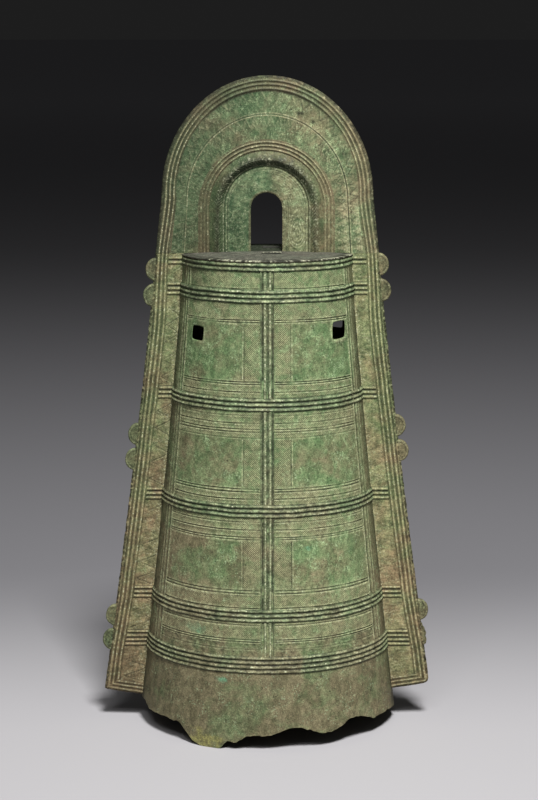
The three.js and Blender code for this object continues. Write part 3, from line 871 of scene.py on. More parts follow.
# Raised bands
def band_marks(name, base, at_ridge, ridges):
    """Grime and painted shade in a band's grooves and under its ridges, its bare crests with a painted
    highlight, its moss, and painted shade at the left end of the rim and shoulder bands.
    """
    ragged = 0.07 * value_noise(base, 6, 14) + 0.09 * value_noise(base, 2.6, 19)
    at_ridge = at_ridge + (1.5 if name == "rim" else 1.0) * ragged
    dark, bare_and_lit = ridge_shade(at_ridge, 1, ridges)
    dark = dark * mottled(base, 0.95, (0.35, 16, 24), (0.25, 4, 25), low=0.3)
    # painted shade at the left end of the rim and shoulder bands
    if name in ("rim", "shoulder"):
        dark = highest(dark, 0.75 * smooth(62.0, 112.0, -base[..., 0]) * mottled(base, 0.8, (0.5, 9, 29)))
    bare_and_lit = bare_and_lit * mottled(base, 0.6, (0.7, 18, 26), (0.6, 4, 27))
    moss = mottled(base, 0.5, (0.9, 20, 28)) * ridge_shade(at_ridge, 1, ridges, 0.2)[0]
    return dark, bare_and_lit, 0.8 * moss


def band(name, side):
    low, high = BAND_SPANS[name]
    _, ridges = BANDS[name]
    middle = (low + high) / 2
    start = angle_at_reach(FIN_HALF - BAND_END_INSET, middle)
    columns = int(half_width(middle) * 2.55 / 1.7)
    angles = np.linspace(start, math.pi - start, columns)[:, None]
    across = np.linspace(0, 1, 8 * ridges + 1)[None]
    z = lerp(low, high, across)
    base = section(angles, z, 0.0, side)
    z = z + 0.5 * value_noise(base * [1, 1, 0.2], 30, 11) + 0.25 * value_noise(base * [1, 1, 0.5], 7, 18)
    beads = 0.5 + 0.5 * value_noise(base * [1, 1, 0.6], 3.4, 12)
    worn = 0.5 + 0.5 * value_noise(base, 22, 13)
    peak = RIDGE_HEIGHT - 0.1 - 0.6 * beads * worn
    grow = lerp(GROOVE_HEIGHT, peak, ridge_wave(across * ridges, 1, ridges)) + cast_noise(base, 0.35, 44)
    grow[:, 0] = grow[:, -1] = -SINK
    dark, bare_and_lit, moss = band_marks(name, base, across * ridges, ridges)
    piece = shell(
        f"cast_{name}_band_{SIDE_NAMES[side]}",
        section(angles, z, grow, side),
        section(angles, np.array([[high, low]]), -2 * SINK, side),
        {"groove": 1.0},
        groove=dark, crest=bare_and_lit, moss=moss, pattern=points_at(angles * half_width(middle), z, 0),
    )
    done(piece, f"{name}_band_{SIDE_NAMES[side]}", "ridge_patina")


def upright(above, below, side):
    low = BAND_SPANS[below][1] - UPRIGHT_OVERLAP
    high = BAND_SPANS[above][0] + UPRIGHT_OVERLAP
    z = np.linspace(low, high, int((high - low) / 1.9))[:, None]
    half = UPRIGHT_WIDTH / 2
    x = np.linspace(-half, half, 31)[None]
    wave = highest(*[near(x - place, 1.5) for place in UPRIGHT_CRESTS])
    rims = near(half - UPRIGHT_EDGE - np.abs(x), 1.0)
    centre = 0.5 * value_noise(points_at(0, 0, z), 60, 15)
    x = x + centre
    base = section(angle_at_x(x, z), z, 0.0, side)
    worn = 0.5 + 0.5 * value_noise(base, 14, 16)
    beads = 0.5 + 0.5 * value_noise(base, 3.2, 17)
    height = highest(wave * (1.95 - 0.55 * worn - 0.4 * beads), rims * (1.1 - 0.5 * worn))
    grow = 0.15 + height + cast_noise(base, 0.4, 48)
    grow[:, 0] = grow[:, -1] = -SINK
    dark = highest(*[strength * near(x - place, 1.5) for place, strength in UPRIGHT_GROOVES])
    back_x = np.array([[half, -half]]) + centre
    piece = shell(
        f"cast_upright_{SIDE_NAMES[side]}_{below}",
        section(angle_at_x(x, z), z, grow, side),
        section(angle_at_x(back_x, z), z, -2 * SINK, side),
        {"groove": 1.0},
        groove=0.9 * dark, crest=smooth(0.6, 1.0, highest(wave, 0.75 * rims)), pattern=points_at(x, z, 0),
    )
    done(piece, f"upright_band_{SIDE_NAMES[side]}_{below}", "ridge_patina")


for side in (FRONT, BACK):
    for name in BAND_NAMES:
        band(name, side)
    for above, below in zip(BAND_NAMES, BAND_NAMES[1:]):
        upright(above, below, side)


# Rib inside the mouth
def inner_rib():
    rise, reach = np.array(RIB_PROFILE).T
    z = RIB_HEIGHT + rise
    grow = reach - WALL_THICK
    rows = []
    for side, angles in ring_angles(150):
        base = section(angles[:, None], z, grow, side)
        rows.append(section(angles[:, None], z, grow + cast_noise(base, 0.7, 52), side))
    outlines = np.concatenate(rows)
    piece = sweep("cast_inner_rib", outlines, is_ring=True, brown=np.ones(outlines.shape[:2]))
    done(piece, "inner_rib", "crown_bronze")


inner_rib()


# Crown plate
def dome_at(x):
    return PLATE_DOME * np.maximum(1 - (x / RIM_HALF_WIDTH) ** 2, 0)


def darken_slots(piece):
    """Painted shade on the walls of the slots, which the cut leaves with the plate's own layers."""
    points = np.empty(len(piece.data.vertices) * 3)
    piece.data.vertices.foreach_get("co", points)
    points = points.reshape(-1, 3) / MM
    across = np.abs(points[:, 0] - SLOT_OFFSET) / (SLOT_SIZE[0] / 2 + 0.6)
    along = np.abs(np.abs(points[:, 1]) - SLOT_REACH) / (SLOT_SIZE[1] / 2 + 0.6)
    inside = (across < 1) & (along < 1)
    for key, value in (("groove", 1.0), ("crest", 0.0), ("brown", 0.0)):
        data = piece.data.attributes[key].data
        values = np.empty(len(points), np.float32)
        data.foreach_get("value", values)
        data.foreach_set("value", np.where(inside, value, values).astype(np.float32))


def crown_plate():
    rings = [[0], np.linspace(0.05, 0.16, 4), np.linspace(0.17, 0.31, 18), np.linspace(0.34, 1, 21)]
    rings = np.concatenate(rings)
    rows = [section(angles, CROWN_HEIGHT, PLATE_OVERHANG, side) for side, angles in ring_angles(130)]
    edge = np.concatenate(rows)
    top = edge[:, None] * rings[:, None]
    x, y = top[..., 0], top[..., 1]
    top[..., 2] = CROWN_HEIGHT + PLATE_DOME * (1 - rings**2)
    top[..., 2] += PLATE_BACK_RISE * smooth(*PLATE_SWELL, y) * (1 - smooth(0.84, 1, rings))
    top[..., 2] += cast_noise(top, 0.35, 56) - PLATE_DROOP * smooth(0.7, 0.98, rings)
    over_slot = between(-SLOT_SIZE[0] / 2 - 1, SLOT_SIZE[0] / 2 + 1, x - SLOT_OFFSET, 1.5)
    lip = near(y + SLOT_BACK - 1.6, 1.3) * over_slot
    top[..., 2] += SLOT_LIP * lip * (0.8 + 0.5 * value_noise(top, 5, 55))
    rim = edge[:, None] * np.array([1.004, 1.003])[:, None]
    rim[..., 2] = CROWN_HEIGHT - PLATE_DROOP - np.array([0.5, 1.1]) + 0.3 * value_noise(rim, 4, 57)
    under = edge[:, None] * np.array([0.995, 0.93, 0.7, 0.35, 0])[:, None]
    share = np.array([1, 0.93, 0.7, 0.35, 0])
    under[..., 2] = CROWN_HEIGHT - PLATE_THICK + PLATE_DOME * (1 - share**2)
    outlines = np.concatenate([top, rim, under], 1)
    crest, groove, brown, moss = np.zeros((4,) + outlines.shape[:2])
    count = len(rings)
    specks = mottled(edge, 0.25, (3.0, 2.8, 58)) * smooth(-102.0, -84.0, edge[:, 0])
    crest[:, count - 2 : count + 2] = specks[:, None]
    groove[:, count - 4 : count + 2] = mottled(edge, 0.7 - specks, (0.5, 14, 59))[:, None]
    brown[:, count + 2 :] = 1
    # painted shadow of the loop on the plate behind it, dark and mossy
    loop_shadow = smooth(-4.0, 0.0, y) * (1 - smooth(24.0, 34.0, np.abs(x)))
    groove[:, :count] = highest(groove[:, :count], 0.9 * loop_shadow)
    # painted highlight on the raised lip by the front slot
    crest[:, :count] = highest(crest[:, :count], lip)
    moss[:, :count] = 0.8 * loop_shadow
    layers = dict(crest=crest, groove=groove, brown=brown, moss=moss)
    piece = sweep("cast_crown_plate", outlines, is_ring=True, **layers)
    weld(piece)
    prisms = []
    for side in (FRONT, BACK):
        flat = hole_outline(SLOT_SIZE, 9 + side) + [SLOT_OFFSET, side * SLOT_REACH]
        prisms.append([points_at(flat[:, 0], flat[:, 1], z) for z in SLOT_CUT])
    cut(piece, prisms)
    darken_slots(piece)
    done(piece, "crown_plate", "crown_bronze")


crown_plate()


# Fins
def fin_width(z):
    return lerp(FIN_TOP_WIDTH, FIN_FOOT_WIDTH, 1 - z / CROWN_HEIGHT)


def fin_edge(z):
    return half_width(z) + fin_width(z)


def crossings(z):
    """Height, grime with painted shade, and bareness with a painted highlight of the bands' ridges, where they
    run on across the fins.
    """
    marks = []
    for name, (low, _) in BAND_SPANS.items():
        _, ridges = BANDS[name]
        wave = ridge_wave(z - low, RIDGE_SPACING, ridges)
        marks.append((wave, *ridge_shade(z - low, RIDGE_SPACING, ridges)))
    return [highest(*layers) for layers in zip(*marks)]


def in_crossing(z):
    return highest(*[between(low, high, z, 0.6) for low, high in BAND_SPANS.values()])


def rim_crests(z):
    """Distances from the edge to the three ridges beside it, for a fin's height."""
    up = smooth(600, 720, z)
    down = 1 - smooth(95, 200, z)
    return [m + (h - m) * up + (lo - m) * down for lo, m, h in zip(FOOT_CRESTS, MIDDLE_CRESTS, RIM_CRESTS)]


def rim_relief(inset, crests, lean):
    """How high on one of three ridges beside an edge each point is, and how deep in a groove beside them."""
    crest = highest(*[near(inset - place, 1.35) for place in crests])
    first, second, third = crests
    places = (first - 3.3, (first + second) / 2, (second + third) / 2, third + 2.4)
    strengths = (0.95, 0.85, 0.8, 0.55)
    groove = highest(*[k * near(inset - place + lean, 1.5) for place, k in zip(places, strengths)])
    return crest, groove


def edge_thickness(distance):
    """Share of the full thickness at a distance from a rounded edge."""
    return lerp(EDGE_THICK_SHARE, 1, np.sqrt(np.clip(distance / EDGE_ROUND, 0, 1)))


def rope_edge(flat, inset, seed):
    """Nicks across the outermost edge, as on a worn cord line."""
    nicks = value_noise(flat, 2.6, seed) + 0.6 * value_noise(flat, 6, seed + 1)
    border = 1 - smooth(2.0, 4.2, inset)
    return nicks * border, border


def fin_grid(hand):
    """Points of a fin, how far they are from its edge's straight line, its edge and its foot, and its width."""
    foot = FIN_FEET[hand]
    levels = np.linspace(foot, CROWN_HEIGHT, 560)[:, None]
    width = fin_width(levels) + FIN_REACH
    rim_columns = np.broadcast_to(np.linspace(0, FIELD_START, 34), (len(levels), 34))
    field_columns = lerp(FIELD_START, width, np.linspace(0, 1, 32)[1:])
    from_edge = np.concatenate([rim_columns, field_columns], 1)
    from_foot = levels - foot
    corner = FOOT_CORNERS[hand]
    cut_back = corner - np.sqrt(np.maximum(corner**2 - np.maximum(corner - from_foot, 0) ** 2, 0))
    inset = np.where(from_edge < FIELD_START, lerp(cut_back, FIELD_START, from_edge / FIELD_START), from_edge)
    z = levels - FOOT_SLANT * (1 - smooth(foot + 22, foot + 58, levels)) * inset
    x = hand * (fin_edge(levels) - inset)
    inward = (inset - FIELD_START) / (width - FIELD_START)
    x = np.where(inset > FIELD_START, lerp(x, hand * (half_width(z) - FIN_REACH), inward**2), x)
    return points_at(x, 0, z), inset, from_edge, from_foot, width


def fin(hand):
    flat, inset, from_edge, from_foot, width = fin_grid(hand)
    x, z = flat[..., 0], flat[..., 2]
    wobble = 0.4 * value_noise(flat * [0.2, 1, 1], 26, 71)
    crests = rim_crests(from_foot + FIN_FEET[hand])
    wander = 0.35 * value_noise(flat * [0, 0, 1], 30, 70)
    crest, groove = rim_relief(inset + wander, crests, 0.0)
    foot_crest, foot_groove = rim_relief(from_foot, FOOT_EDGE_CRESTS, 0.5)
    along_foot = from_foot < np.minimum(inset, FOOT_RIM)
    crest = np.where(along_foot, foot_crest, crest)
    groove = np.where(along_foot, foot_groove, groove)
    on_rim = (inset < crests[2] + 3.4) | (from_foot < FOOT_RIM)
    off_band = 1 - in_crossing(z)
    band_zone = in_crossing(z) * ~on_rim
    field_zone = off_band * ~on_rim
    crossing, dark, bare_and_lit = crossings(z + wobble)
    worn = mottled(flat, 0.75, (0.5, 24, 72), (0.3, 8, 73), low=0.1)
    across = (inset - FIN_RIM - 2.5) / (width - FIN_RIM - 5) * 24
    teeth = sawtooth_lines(z * hand, across, 26.0, 24.0) * field_zone * worn * FIN_TEETH[hand]
    scratches = mottled(flat * [0.28, 1, 1], 0, (1.6, 2.2, 78)) * field_zone
    to_wall = width - FIN_REACH - inset
    # painted highlight on the fin beside the wall
    highlight_at_wall = near(to_wall - 1.6, 2.6) * off_band * (0.75 + 0.4 * value_noise(flat, 9, 79))
    beads = 0.5 + 0.5 * value_noise(flat, 3.4, 74)
    wave = np.where(on_rim, crest, crossing * band_zone)
    nearest = np.minimum(from_edge, from_foot)
    nicks, border = rope_edge(flat, nearest, 86)
    relief = wave * (FIN_RIDGE_HEIGHT - 0.35 * beads) + 0.35 * teeth + 0.15 * scratches + 0.35 * nicks
    ragged = 0.5 * value_noise(flat[:, :1], 5, 77) + 0.35 * value_noise(flat[:, :1], 2.4, 75)
    deep = highest(
        np.where(on_rim, groove, band_zone * dark),
        border * (0.9 - 0.6 * nicks),
        0.95 * np.roll(teeth, 2, axis=0),
        0.4 * mottled(flat * [0.3, 1, 1] + [0, 0, 0.12], -0.2, (1.8, 1.6, 88)) * field_zone,
    )
    specks = mottled(flat, -0.5, (2.6, 2.3, 89)) * (1 - smooth(3.0, 6.5, nearest))
    deep = deep * (1 - 0.6 * specks)
    bare_and_lit_ridges = np.where(on_rim, smooth(0.5, 1, crest), band_zone * bare_and_lit)
    high = highest(bare_and_lit_ridges, 0.45 * teeth, 0.5 * scratches, 0.55 * specks, highlight_at_wall)
    # painted light: the field turns paler towards the wall
    light_towards_wall = smooth(0.3, 1.0, (inset - FIELD_START) / (width - FIELD_START)) * FIN_LIGHT_TOWARDS_WALL[hand]
    half = FIN_HALF * edge_thickness(nearest) + relief
    piece = sheet(
        f"cast_fin_{HAND_NAMES[hand]}", flat, half, 0.48, 76, 500, ragged,
        brown=0.25 * smooth(0.3, 1.0, deep),
        groove=np.clip(deep, 0, 1),
        crest=np.clip(high + light_towards_wall * field_zone, 0, 1),
        pattern=points_at(x, z, 0),
    )
    done(piece, f"fin_{HAND_NAMES[hand]}", "fin_bronze")


for hand in (LEFT, RIGHT):
    fin(hand)


# Ears
def ear(hand, level, position):
    name = f"{HAND_NAMES[hand]}_{level}_{position}"
    centre = EAR_LEVELS[hand][level] + (EAR_PITCH / 2 if position == "upper" else -EAR_PITCH / 2)
    broken = (hand, level, position) == BROKEN_EAR
    reach = BROKEN_EAR_REACH if broken else EAR_REACH
    unevenness, seed = (0.22, 82) if broken else (0.02, 81)
    turn = np.linspace(-math.pi / 2, math.pi / 2, 44)[:, None]
    radius = np.array([0, 0.2, 0.4, 0.55, 0.66, 0.72, 0.78, 0.84, 0.9, 0.95, 0.985, 1.0])[None]
    around = points_at(20 * np.cos(turn), 20 * np.sin(turn), int(centre))
    outline = 1 + unevenness * value_noise(around, 6, seed)
    out = radius * outline * np.cos(turn) * (reach + EAR_ROOT) - EAR_ROOT
    up = radius * outline * np.sin(turn) * EAR_HALF_HEIGHT
    bevel = ((radius - EAR_BEVEL_SHARE) / (1 - EAR_BEVEL_SHARE)).clip(0, 1)
    line = near(radius - EAR_LINE_SHARE, 0.05)
    half = EAR_HALF_THICK * lerp(0.34, 1.0, np.sqrt(1 - bevel**2))
    half = half + 0.2 * near(radius - EAR_BEVEL_SHARE, 0.06) - 0.3 * line
    narrowing = fin_edge(centre - EAR_HALF_HEIGHT) - fin_edge(centre + EAR_HALF_HEIGHT)
    lean = math.atan(narrowing / (2 * EAR_HALF_HEIGHT))
    x = hand * (fin_edge(centre) + out * math.cos(lean) - up * math.sin(lean))
    z = centre + up * math.cos(lean) + out * math.sin(lean)
    bulge = near(radius - 0.86, 0.08)
    layers = dict(groove=0.4 * line, crest=0.3 * bulge)
    piece = sheet(f"cast_ear_{name}", points_at(x, 0, z), half, 0.36, 84, 400, **layers)
    weld(piece)
    done(piece, f"ear_{name}", "ear_patina")


for hand in (LEFT, RIGHT):
    for level in EAR_LEVELS[hand]:
        for position in ("upper", "lower"):
            ear(hand, level, position)


# Loop
LOOP_FOOT_HALF = fin_edge(CROWN_HEIGHT)
LOOP_HALF = LOOP_FOOT_HALF - LOOP_TAPER
LEG_ROWS = 52
ARC_ROWS = 330


def arch_rows():
    """Share of the leg climbed and angle over the arch of each row, from the right foot to the left."""
    leg = np.linspace(0, 1, LEG_ROWS, endpoint=False)
    arc = np.linspace(0, math.pi, ARC_ROWS)
    climbed = np.concatenate([leg, np.ones(ARC_ROWS), leg[::-1]])
    angle = np.concatenate([np.zeros(LEG_ROWS), arc, np.full(LEG_ROWS, math.pi)])
    return climbed[:, None], angle[:, None]


def ring_point(radius, climbed, angle):
    x = radius * np.cos(angle) - RING_OFFSET
    foot = CROWN_HEIGHT + dome_at(x) - SINK
    return x, lerp(foot, CROWN_HEIGHT + RING_CENTRE + radius * np.sin(angle), climbed)


def arch_length(climbed, angle, rise, radius):
    """Distance from the top, measured along the legs and round the arch."""
    leg = np.where(climbed < 1, climbed * rise * np.sign(np.cos(angle)), 0)
    return leg + radius * (angle - math.pi / 2)


def flange_grid():
    """Points of the outer flange, with their distances from its edge, and its width at each."""
    climbed, angle = arch_rows()
    edge_x = lerp(np.sign(np.cos(angle)) * LOOP_FOOT_HALF, LOOP_HALF * np.cos(angle), climbed)
    arch_z = CROWN_HEIGHT + LOOP_SPRING + (LOOP_RISE - LOOP_SPRING) * np.sin(angle)
    edge_z = lerp(CROWN_HEIGHT, arch_z, climbed)
    start_x, start_z = ring_point(RING_OUTER - RING_OVERLAP, climbed, angle)
    span = np.hypot(edge_x - start_x, edge_z - start_z)
    rim = np.linspace(0, FIN_RIM, 34)
    ring_rim = np.linspace(0, 3 * RING_RIDGE_SPACING + 2.0, 24)
    middle = np.linspace(0, 1, 44)[1:-1]
    middle = middle + 0.09 * np.sin(2 * math.pi * middle)  # closer together at the double line
    rim_columns = np.broadcast_to(rim, (len(span), len(rim)))
    middle_columns = lerp(rim[-1], span - ring_rim[-1], middle)
    inset = np.concatenate([rim_columns, middle_columns, span - ring_rim[::-1]], 1)
    share = inset / span
    x = lerp(edge_x, start_x, share)
    z = lerp(edge_z, start_z, share)
    foot = CROWN_HEIGHT + dome_at(x) - SINK
    spring = CROWN_HEIGHT + lerp(LOOP_SPRING, RING_CENTRE, share)
    return points_at(x, 0, np.where(climbed < 1, lerp(foot, spring, climbed), z)), inset, span


def outer_flange():
    climbed, angle = arch_rows()
    flat, inset, span = flange_grid()
    x, z = flat[..., 0], flat[..., 2]
    from_inside = span - inset
    wander = 0.3 * value_noise(flat, 34, 90)
    crests = [lerp(low, high, smooth(0, 1, climbed)) for low, high in zip(RIM_CRESTS, ARCH_CRESTS)]
    outer_crest, outer_groove = rim_relief(inset + wander, crests, 0.0)
    inner_places = [from_inside + wander - i * RING_RIDGE_SPACING for i in range(4)]
    inner_crest = highest(*[near(place - RING_RIDGE_SPACING / 2, 1.1) for place in inner_places[:3]])
    inner_groove = highest(*[k * near(place, 1.3) for place, k in zip(inner_places, (0.55, 0.6, 0.55, 0.45))])
    on_rim = (inset < LOOP_RIM) | (from_inside < INNER_RIM)
    from_double = inset - DOUBLE_LINE_SHARE * span
    centre = np.abs(from_double)
    field = ~on_rim * (centre > 3.0)
    worn = mottled(flat, 0.7, (0.5, 22, 91), (0.35, 8, 92), low=0.08)
    on_top = smooth(0.5, 0.95, np.sin(angle))
    to_right = smooth(20.0, 60.0, x)
    inner_line = lerp(0.3, 0.9, smooth(-60.0, 20.0, x)) * near(centre - DOUBLE_LINE_HALF, 0.85)
    double = highest(near(from_double - DOUBLE_LINE_HALF, 0.8), inner_line)
    double = double * np.clip(worn + 0.35, 0.25, 1) * (1 - 0.3 * to_right)
    along = arch_length(climbed, angle, LOOP_SPRING, LOOP_ARC_RADIUS)
    rows = [(inset - LOOP_TEETH[0], LOOP_TEETH[1]), (from_double - INNER_TEETH[0], INNER_TEETH[1])]
    teeth = highest(*[sawtooth_lines(along, across, LOOP_TEETH_PITCH, width) for across, width in rows])
    teeth = teeth * field * worn
    scratches = mottled(points_at(0.3 * inset, along, 40), 0, (1.7, 2.0, 95), low=-1) * ~on_rim
    beads = 0.5 + 0.5 * value_noise(flat, 3.4, 93)
    nicks, border = rope_edge(flat, inset, 87)
    relief = highest(outer_crest, inner_crest) * (FIN_RIDGE_HEIGHT - 0.35 * beads)
    relief = relief + 0.4 * double + 0.35 * teeth + 0.15 * scratches + 0.35 * nicks
    deep = highest(
        # along the top of the arch: painted shade on the crests, lighter grooves beside them, and a dark band
        # inside the rim
        outer_groove * (1 - 0.4 * on_top),
        0.8 * outer_crest * on_top,
        0.95 * near(inset + wander - crests[2] - 2.6, 1.9) * on_top,
        inner_groove,
        border * (0.9 - 0.5 * nicks),
        lerp(0.6 * worn, 0.95, to_right) * near(centre, 1.0),
        lerp(0.5, 0.9, to_right) * np.roll(teeth, 2, axis=0),
        0.15 * np.clip(-scratches, 0, 1),
        *[1.6 * near(np.hypot(x - pit_x, z - pit_z), radius) for pit_x, pit_z, radius in LOOP_PITS],
    )
    deep = np.clip(deep, 0, 1)
    brown = highest(
        mottled(flat, 0.65, (0.5, 40, 110)) * on_rim * (1 - 0.7 * to_right),
        0.65 * (from_inside < INNER_RIM),
        0.6 * mottled(flat, 0.5, (0.8, 20, 115)) * to_right * smooth(790.0, 850.0, z),
    )
    bare_rim = lerp(0.75 - 0.25 * np.cos(angle), 0.0, on_top)
    bare_rim = bare_rim * (1 - 0.5 * (inset < (crests[0] + crests[1]) / 2) * (x > 0))
    glints = lerp(0.1, 0.9, mottled(flat, -0.5, (2.4, 2.4, 114)))
    high = highest(smooth(0.5 + 0.2 * to_right, 1, outer_crest) * bare_rim, inner_crest * glints)
    high = high * (1 - near(deep - 1, 0.1))
    tooth = 2 * np.abs((along / LOOP_TEETH_PITCH) % 1.0 - 0.5)
    filled = highest(*[(across > 0) & (across < width * tooth) for across, width in rows]) * field
    specks = mottled(flat, -0.6, (2.6, 2.3, 116)) * (1 - smooth(4.0, 9.0, inset)) * to_right
    high = highest(
        high,
        0.75 * double,
        0.32 * teeth,
        0.4 * filled * smooth(30.0, 70.0, x) * (1 - smooth(780.0, 830.0, z)),
        0.6 * specks,
        0.12 * np.clip(scratches, 0, 1),
    )
    piece = sheet(
        "cast_loop_outer_flange", flat, FIN_HALF * edge_thickness(inset) + relief, 0.42, 94, 600,
        groove=deep, crest=np.clip(high, 0, 1), brown=brown,
        moss=mottled(flat, 0.1, (1.1, 34, 99), high=0.6) * ~on_rim,
    )
    done(piece, "loop_outer_flange", "loop_patina")


def loop_ring():
    climbed, angle = arch_rows()
    across = np.linspace(0, 1, 40)[None]
    radius = lerp(RING_OUTER, RING_INNER, across)
    crest_at = (RING_OUTER - RING_CREST) / (RING_OUTER - RING_INNER)
    climb = np.clip(np.minimum(across / crest_at, (1 - across) / (1 - crest_at)), 0, 1)
    half = lerp(FIN_HALF - 0.3, RING_HALF_THICK, climb**1.12) - 1.0 * near(climb - 1, 0.16)
    x, z = ring_point(radius, climbed, angle)
    flat = points_at(x, 0, z)
    along = arch_length(climbed, angle, RING_CENTRE, RING_CREST)
    from_crest = radius - RING_CREST
    chevron = near(((along + 1.1 * np.abs(from_crest)) % 4.6) - 2.3, 1.0) * between(-6.0, 4.5, from_crest)
    chevron = chevron * mottled(flat, 0.6, (0.5, 20, 96), low=0.1)
    line = near(from_crest + RING_LINE, 0.7)
    overhead = np.sin(angle)
    ragged = from_crest + 1.2 * value_noise(flat, 5, 111)
    # painted shade over the crest and the inner slope, wider at the top of the arch where the slope faces down
    painted_crest_shade = smooth(lerp(-5.0, -11.0, overhead), lerp(-0.5, -7.0, overhead), ragged)
    painted_crest_shade = painted_crest_shade * (1 - smooth(lerp(0.0, 0.5, overhead), lerp(7.5, 10.5, overhead), ragged))
    patches = 1 - 0.45 * mottled(flat, 0.3, (1.0, 26, 117), (0.3, 8, 118))
    deep = highest(
        0.88 * patches * painted_crest_shade - 0.35 * chevron,
        # painted shade on the inner slope along the top of the arch
        0.35 * overhead * (1 - smooth(-5.0, -3.0, from_crest)),
        0.8 * near(across - 1, 0.04),
    )
    lit = painted_crest_shade * smooth(-1.2, 0.4, overhead + 0.4 * np.cos(angle))
    high = highest(0.3 * chevron + 0.5 * line, mottled(flat, -0.6, (2.8, 2.6, 98)) * lit)
    moss = (1 - smooth(-4.0, 1.0, from_crest)) * mottled(flat, 0.75, (0.5, 12, 100))
    moss = moss * lerp(0.45, 1.0, overhead) * (1 - 0.6 * (x > 0) * (1 - overhead))
    piece = sheet(
        "cast_loop_ring", flat, half + 0.5 * chevron + 0.4 * line, 0.42, 97, 600,
        groove=np.clip(deep, 0, 1), crest=np.clip(high, 0, 1), moss=moss,
    )
    done(piece, "loop_ring", "ring_bronze")


def inner_flange():
    climbed, angle = arch_rows()
    radius = lerp(RING_INNER + RING_OVERLAP, OPENING_HALF_WIDTH, np.linspace(0, 1, 44)[None])
    x, z = ring_point(radius, climbed, angle)
    flat = points_at(x, 0, z)
    worn = mottled(flat, 0.6, (0.5, 20, 101), (0.3, 7, 102), low=0.08)
    edge_line = near(radius - INNER_LINES[0], 0.9) + 0.6 * near(radius - INNER_LINES[1], 0.7)
    scratches = mottled(flat * [0.5, 1, 0.8], 0, (1.7, 2.4, 105), low=-1)
    arcs = near((radius % NESTED_SPACING) - NESTED_SPACING / 2, 0.7) * smooth(0.0, 24.0, x)
    arcs = arcs * smooth(752.0, 772.0, z) * np.clip(worn, 0.2, 1)
    nested = highest(nested_arcs(x, z) * np.clip(worn + 0.4 * (x > 0), 0.25, 1), 0.7 * arcs)
    relief = 0.35 * edge_line * worn + 0.35 * nested + 0.12 * scratches
    edge = lerp(0.7, 1, np.clip((radius - OPENING_HALF_WIDTH) / OPENING_EDGE, 0, 1))
    deep = 0.7 * near(radius - INNER_GROOVE, 0.8) * worn + 0.3 * np.clip(-scratches, 0, 1)
    high = highest(0.9 * edge_line * np.clip(worn + 0.3, 0.3, 1), nested, 0.3 * scratches)
    brown = highest(
        0.8 * (1 - smooth(1.0, 5.0, radius - OPENING_HALF_WIDTH)),
        0.5 * smooth(-10.0, 30.0, x) * mottled(flat, 0.6, (1.0, 16, 113)),
    )
    moss = 0.55 * (1 - smooth(-40.0, 5.0, x)) * between(740.0, 800.0, z, 18.0)
    piece = sheet(
        "cast_loop_inner_flange", flat, FIN_HALF * edge + relief, 0.42, 104, 600,
        groove=np.clip(deep, 0, 1), crest=np.clip(high, 0, 1), brown=brown,
        moss=mottled(flat, moss, (0.5, 22, 106), (0.2, 8, 107), high=0.85),
    )
    done(piece, "loop_inner_flange", "inner_patina")


def nested_arcs(x, z):
    """Nested horseshoes beside the opening, with their round ends down."""
    place, level = NESTED_PLACE
    above = z - level
    total = np.zeros_like(x)
    for hand, strength in ((LEFT, 0.5), (RIGHT, 1.0)):
        distance = np.hypot((x - hand * place) * 1.1, above * np.where(above < 0, 0.72, 0.4))
        rings = near(((distance + 0.6) % NESTED_SPACING) - NESTED_SPACING / 2, 0.85)
        total = highest(total, rings * (distance < NESTED_RADIUS) * strength)
    return total


outer_flange()
loop_ring()
inner_flange()

# Floor, lights and camera, in metres
FLOOR_HALF = 95.0
LIT_POINT = (0, 0, 0.45)
# Place, width and power
LAMPS = {"key": ((0.45, -1.9, 3.9), 0.8, 248), "front": ((-0.6, -2.6, 3.5), 1.2, 30)}
AMBIENT = 0.05
FAR_GREY = 0.0125  # what the camera sees above the floor's far edge
CAMERA_PLACE = (0.0024, -2.8439, 1.0597)
CAMERA_TILT = 11.163  # degrees down
CAMERA_LENS = 87.14


def link(name, data):
    thing = bpy.data.objects.new(name, data)
    bpy.context.scene.collection.objects.link(thing)
    return thing


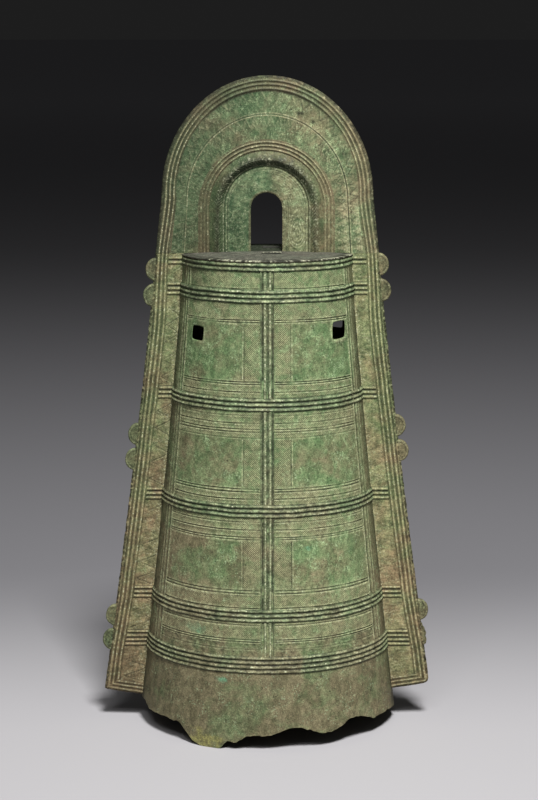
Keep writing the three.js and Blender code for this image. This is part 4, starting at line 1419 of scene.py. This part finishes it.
def floor_mesh():
    """Pale floor with the lamps' falloff painted in: greyer behind the bell, darkest some metres back, and a
    little lighter again far away.
    """
    mesh = bpy.data.meshes.new("floor")
    corners = [(x * FLOOR_HALF, y * FLOOR_HALF, 0) for x, y in ((-1, -1), (1, -1), (1, 1), (-1, 1))]
    mesh.from_pydata(corners, [], [(0, 1, 2, 3)])
    g = Graph("floor_paint")
    back = g.split(g.place)["Y"]
    colour = g.mix(g.remap(back, -0.1, 0.85), srgb(176, 174, 176), srgb(130, 129, 132))
    colour = g.mix(g.remap(back, 1.2, 6.5), colour, srgb(95, 94, 96))
    colour = g.mix(g.remap(back, 6.5, 24.0), colour, srgb(128, 127, 129))
    g.surface(colour, 0.9, 0.0)
    mesh.materials.append(g.material)
    link("floor", mesh)


def area_light(name, place, width, power):
    data = bpy.data.lights.new(name, "AREA")
    data.shape = "RECTANGLE"
    data.size = data.size_y = width
    data.energy = power
    light = link(name, data)
    light.location = place
    x, y, z = np.array(LIT_POINT) - np.array(place)
    light.rotation_euler = (math.atan2(math.hypot(x, y), -z), 0, math.atan2(y, x) - math.pi / 2)


def studio_air():
    """Faint light from all round, and a darker grey where the camera looks past the floor."""
    world = bpy.data.worlds.new("studio")
    bpy.context.scene.world = world
    world.use_nodes = True
    nodes, links = world.node_tree.nodes, world.node_tree.links
    ambient = nodes["Background"]
    ambient.inputs[0].default_value = (0.97, 0.98, 1.0, 1)
    ambient.inputs[1].default_value = AMBIENT
    seen = nodes.new("ShaderNodeBackground")
    seen.inputs[0].default_value = (1, 1, 1, 1)
    seen.inputs[1].default_value = FAR_GREY
    rays = nodes.new("ShaderNodeLightPath")
    shown = rays.outputs["Is Camera Ray"]
    for ray in ("Is Glossy Ray", "Is Transmission Ray"):
        either = nodes.new("ShaderNodeMath")
        either.operation = "MAXIMUM"
        links.new(shown, either.inputs[0])
        links.new(rays.outputs[ray], either.inputs[1])
        shown = either.outputs[0]
    choice = nodes.new("ShaderNodeMixShader")
    for socket, source in zip(choice.inputs, (shown, ambient.outputs[0], seen.outputs[0])):
        links.new(source, socket)
    links.new(choice.outputs[0], nodes["World Output"].inputs[0])


floor_mesh()
for name, lamp in LAMPS.items():
    area_light(name, *lamp)
studio_air()

camera_data = bpy.data.cameras.new("camera")
camera_data.sensor_width = 36.0
camera_data.lens = CAMERA_LENS
camera_data.clip_end = 200.0
camera = link("camera", camera_data)
camera.location = CAMERA_PLACE
camera.rotation_euler = (math.radians(90 - CAMERA_TILT), 0, 0)
bpy.context.scene.camera = camera
bpy.context.scene.view_settings.view_transform = "Standard"
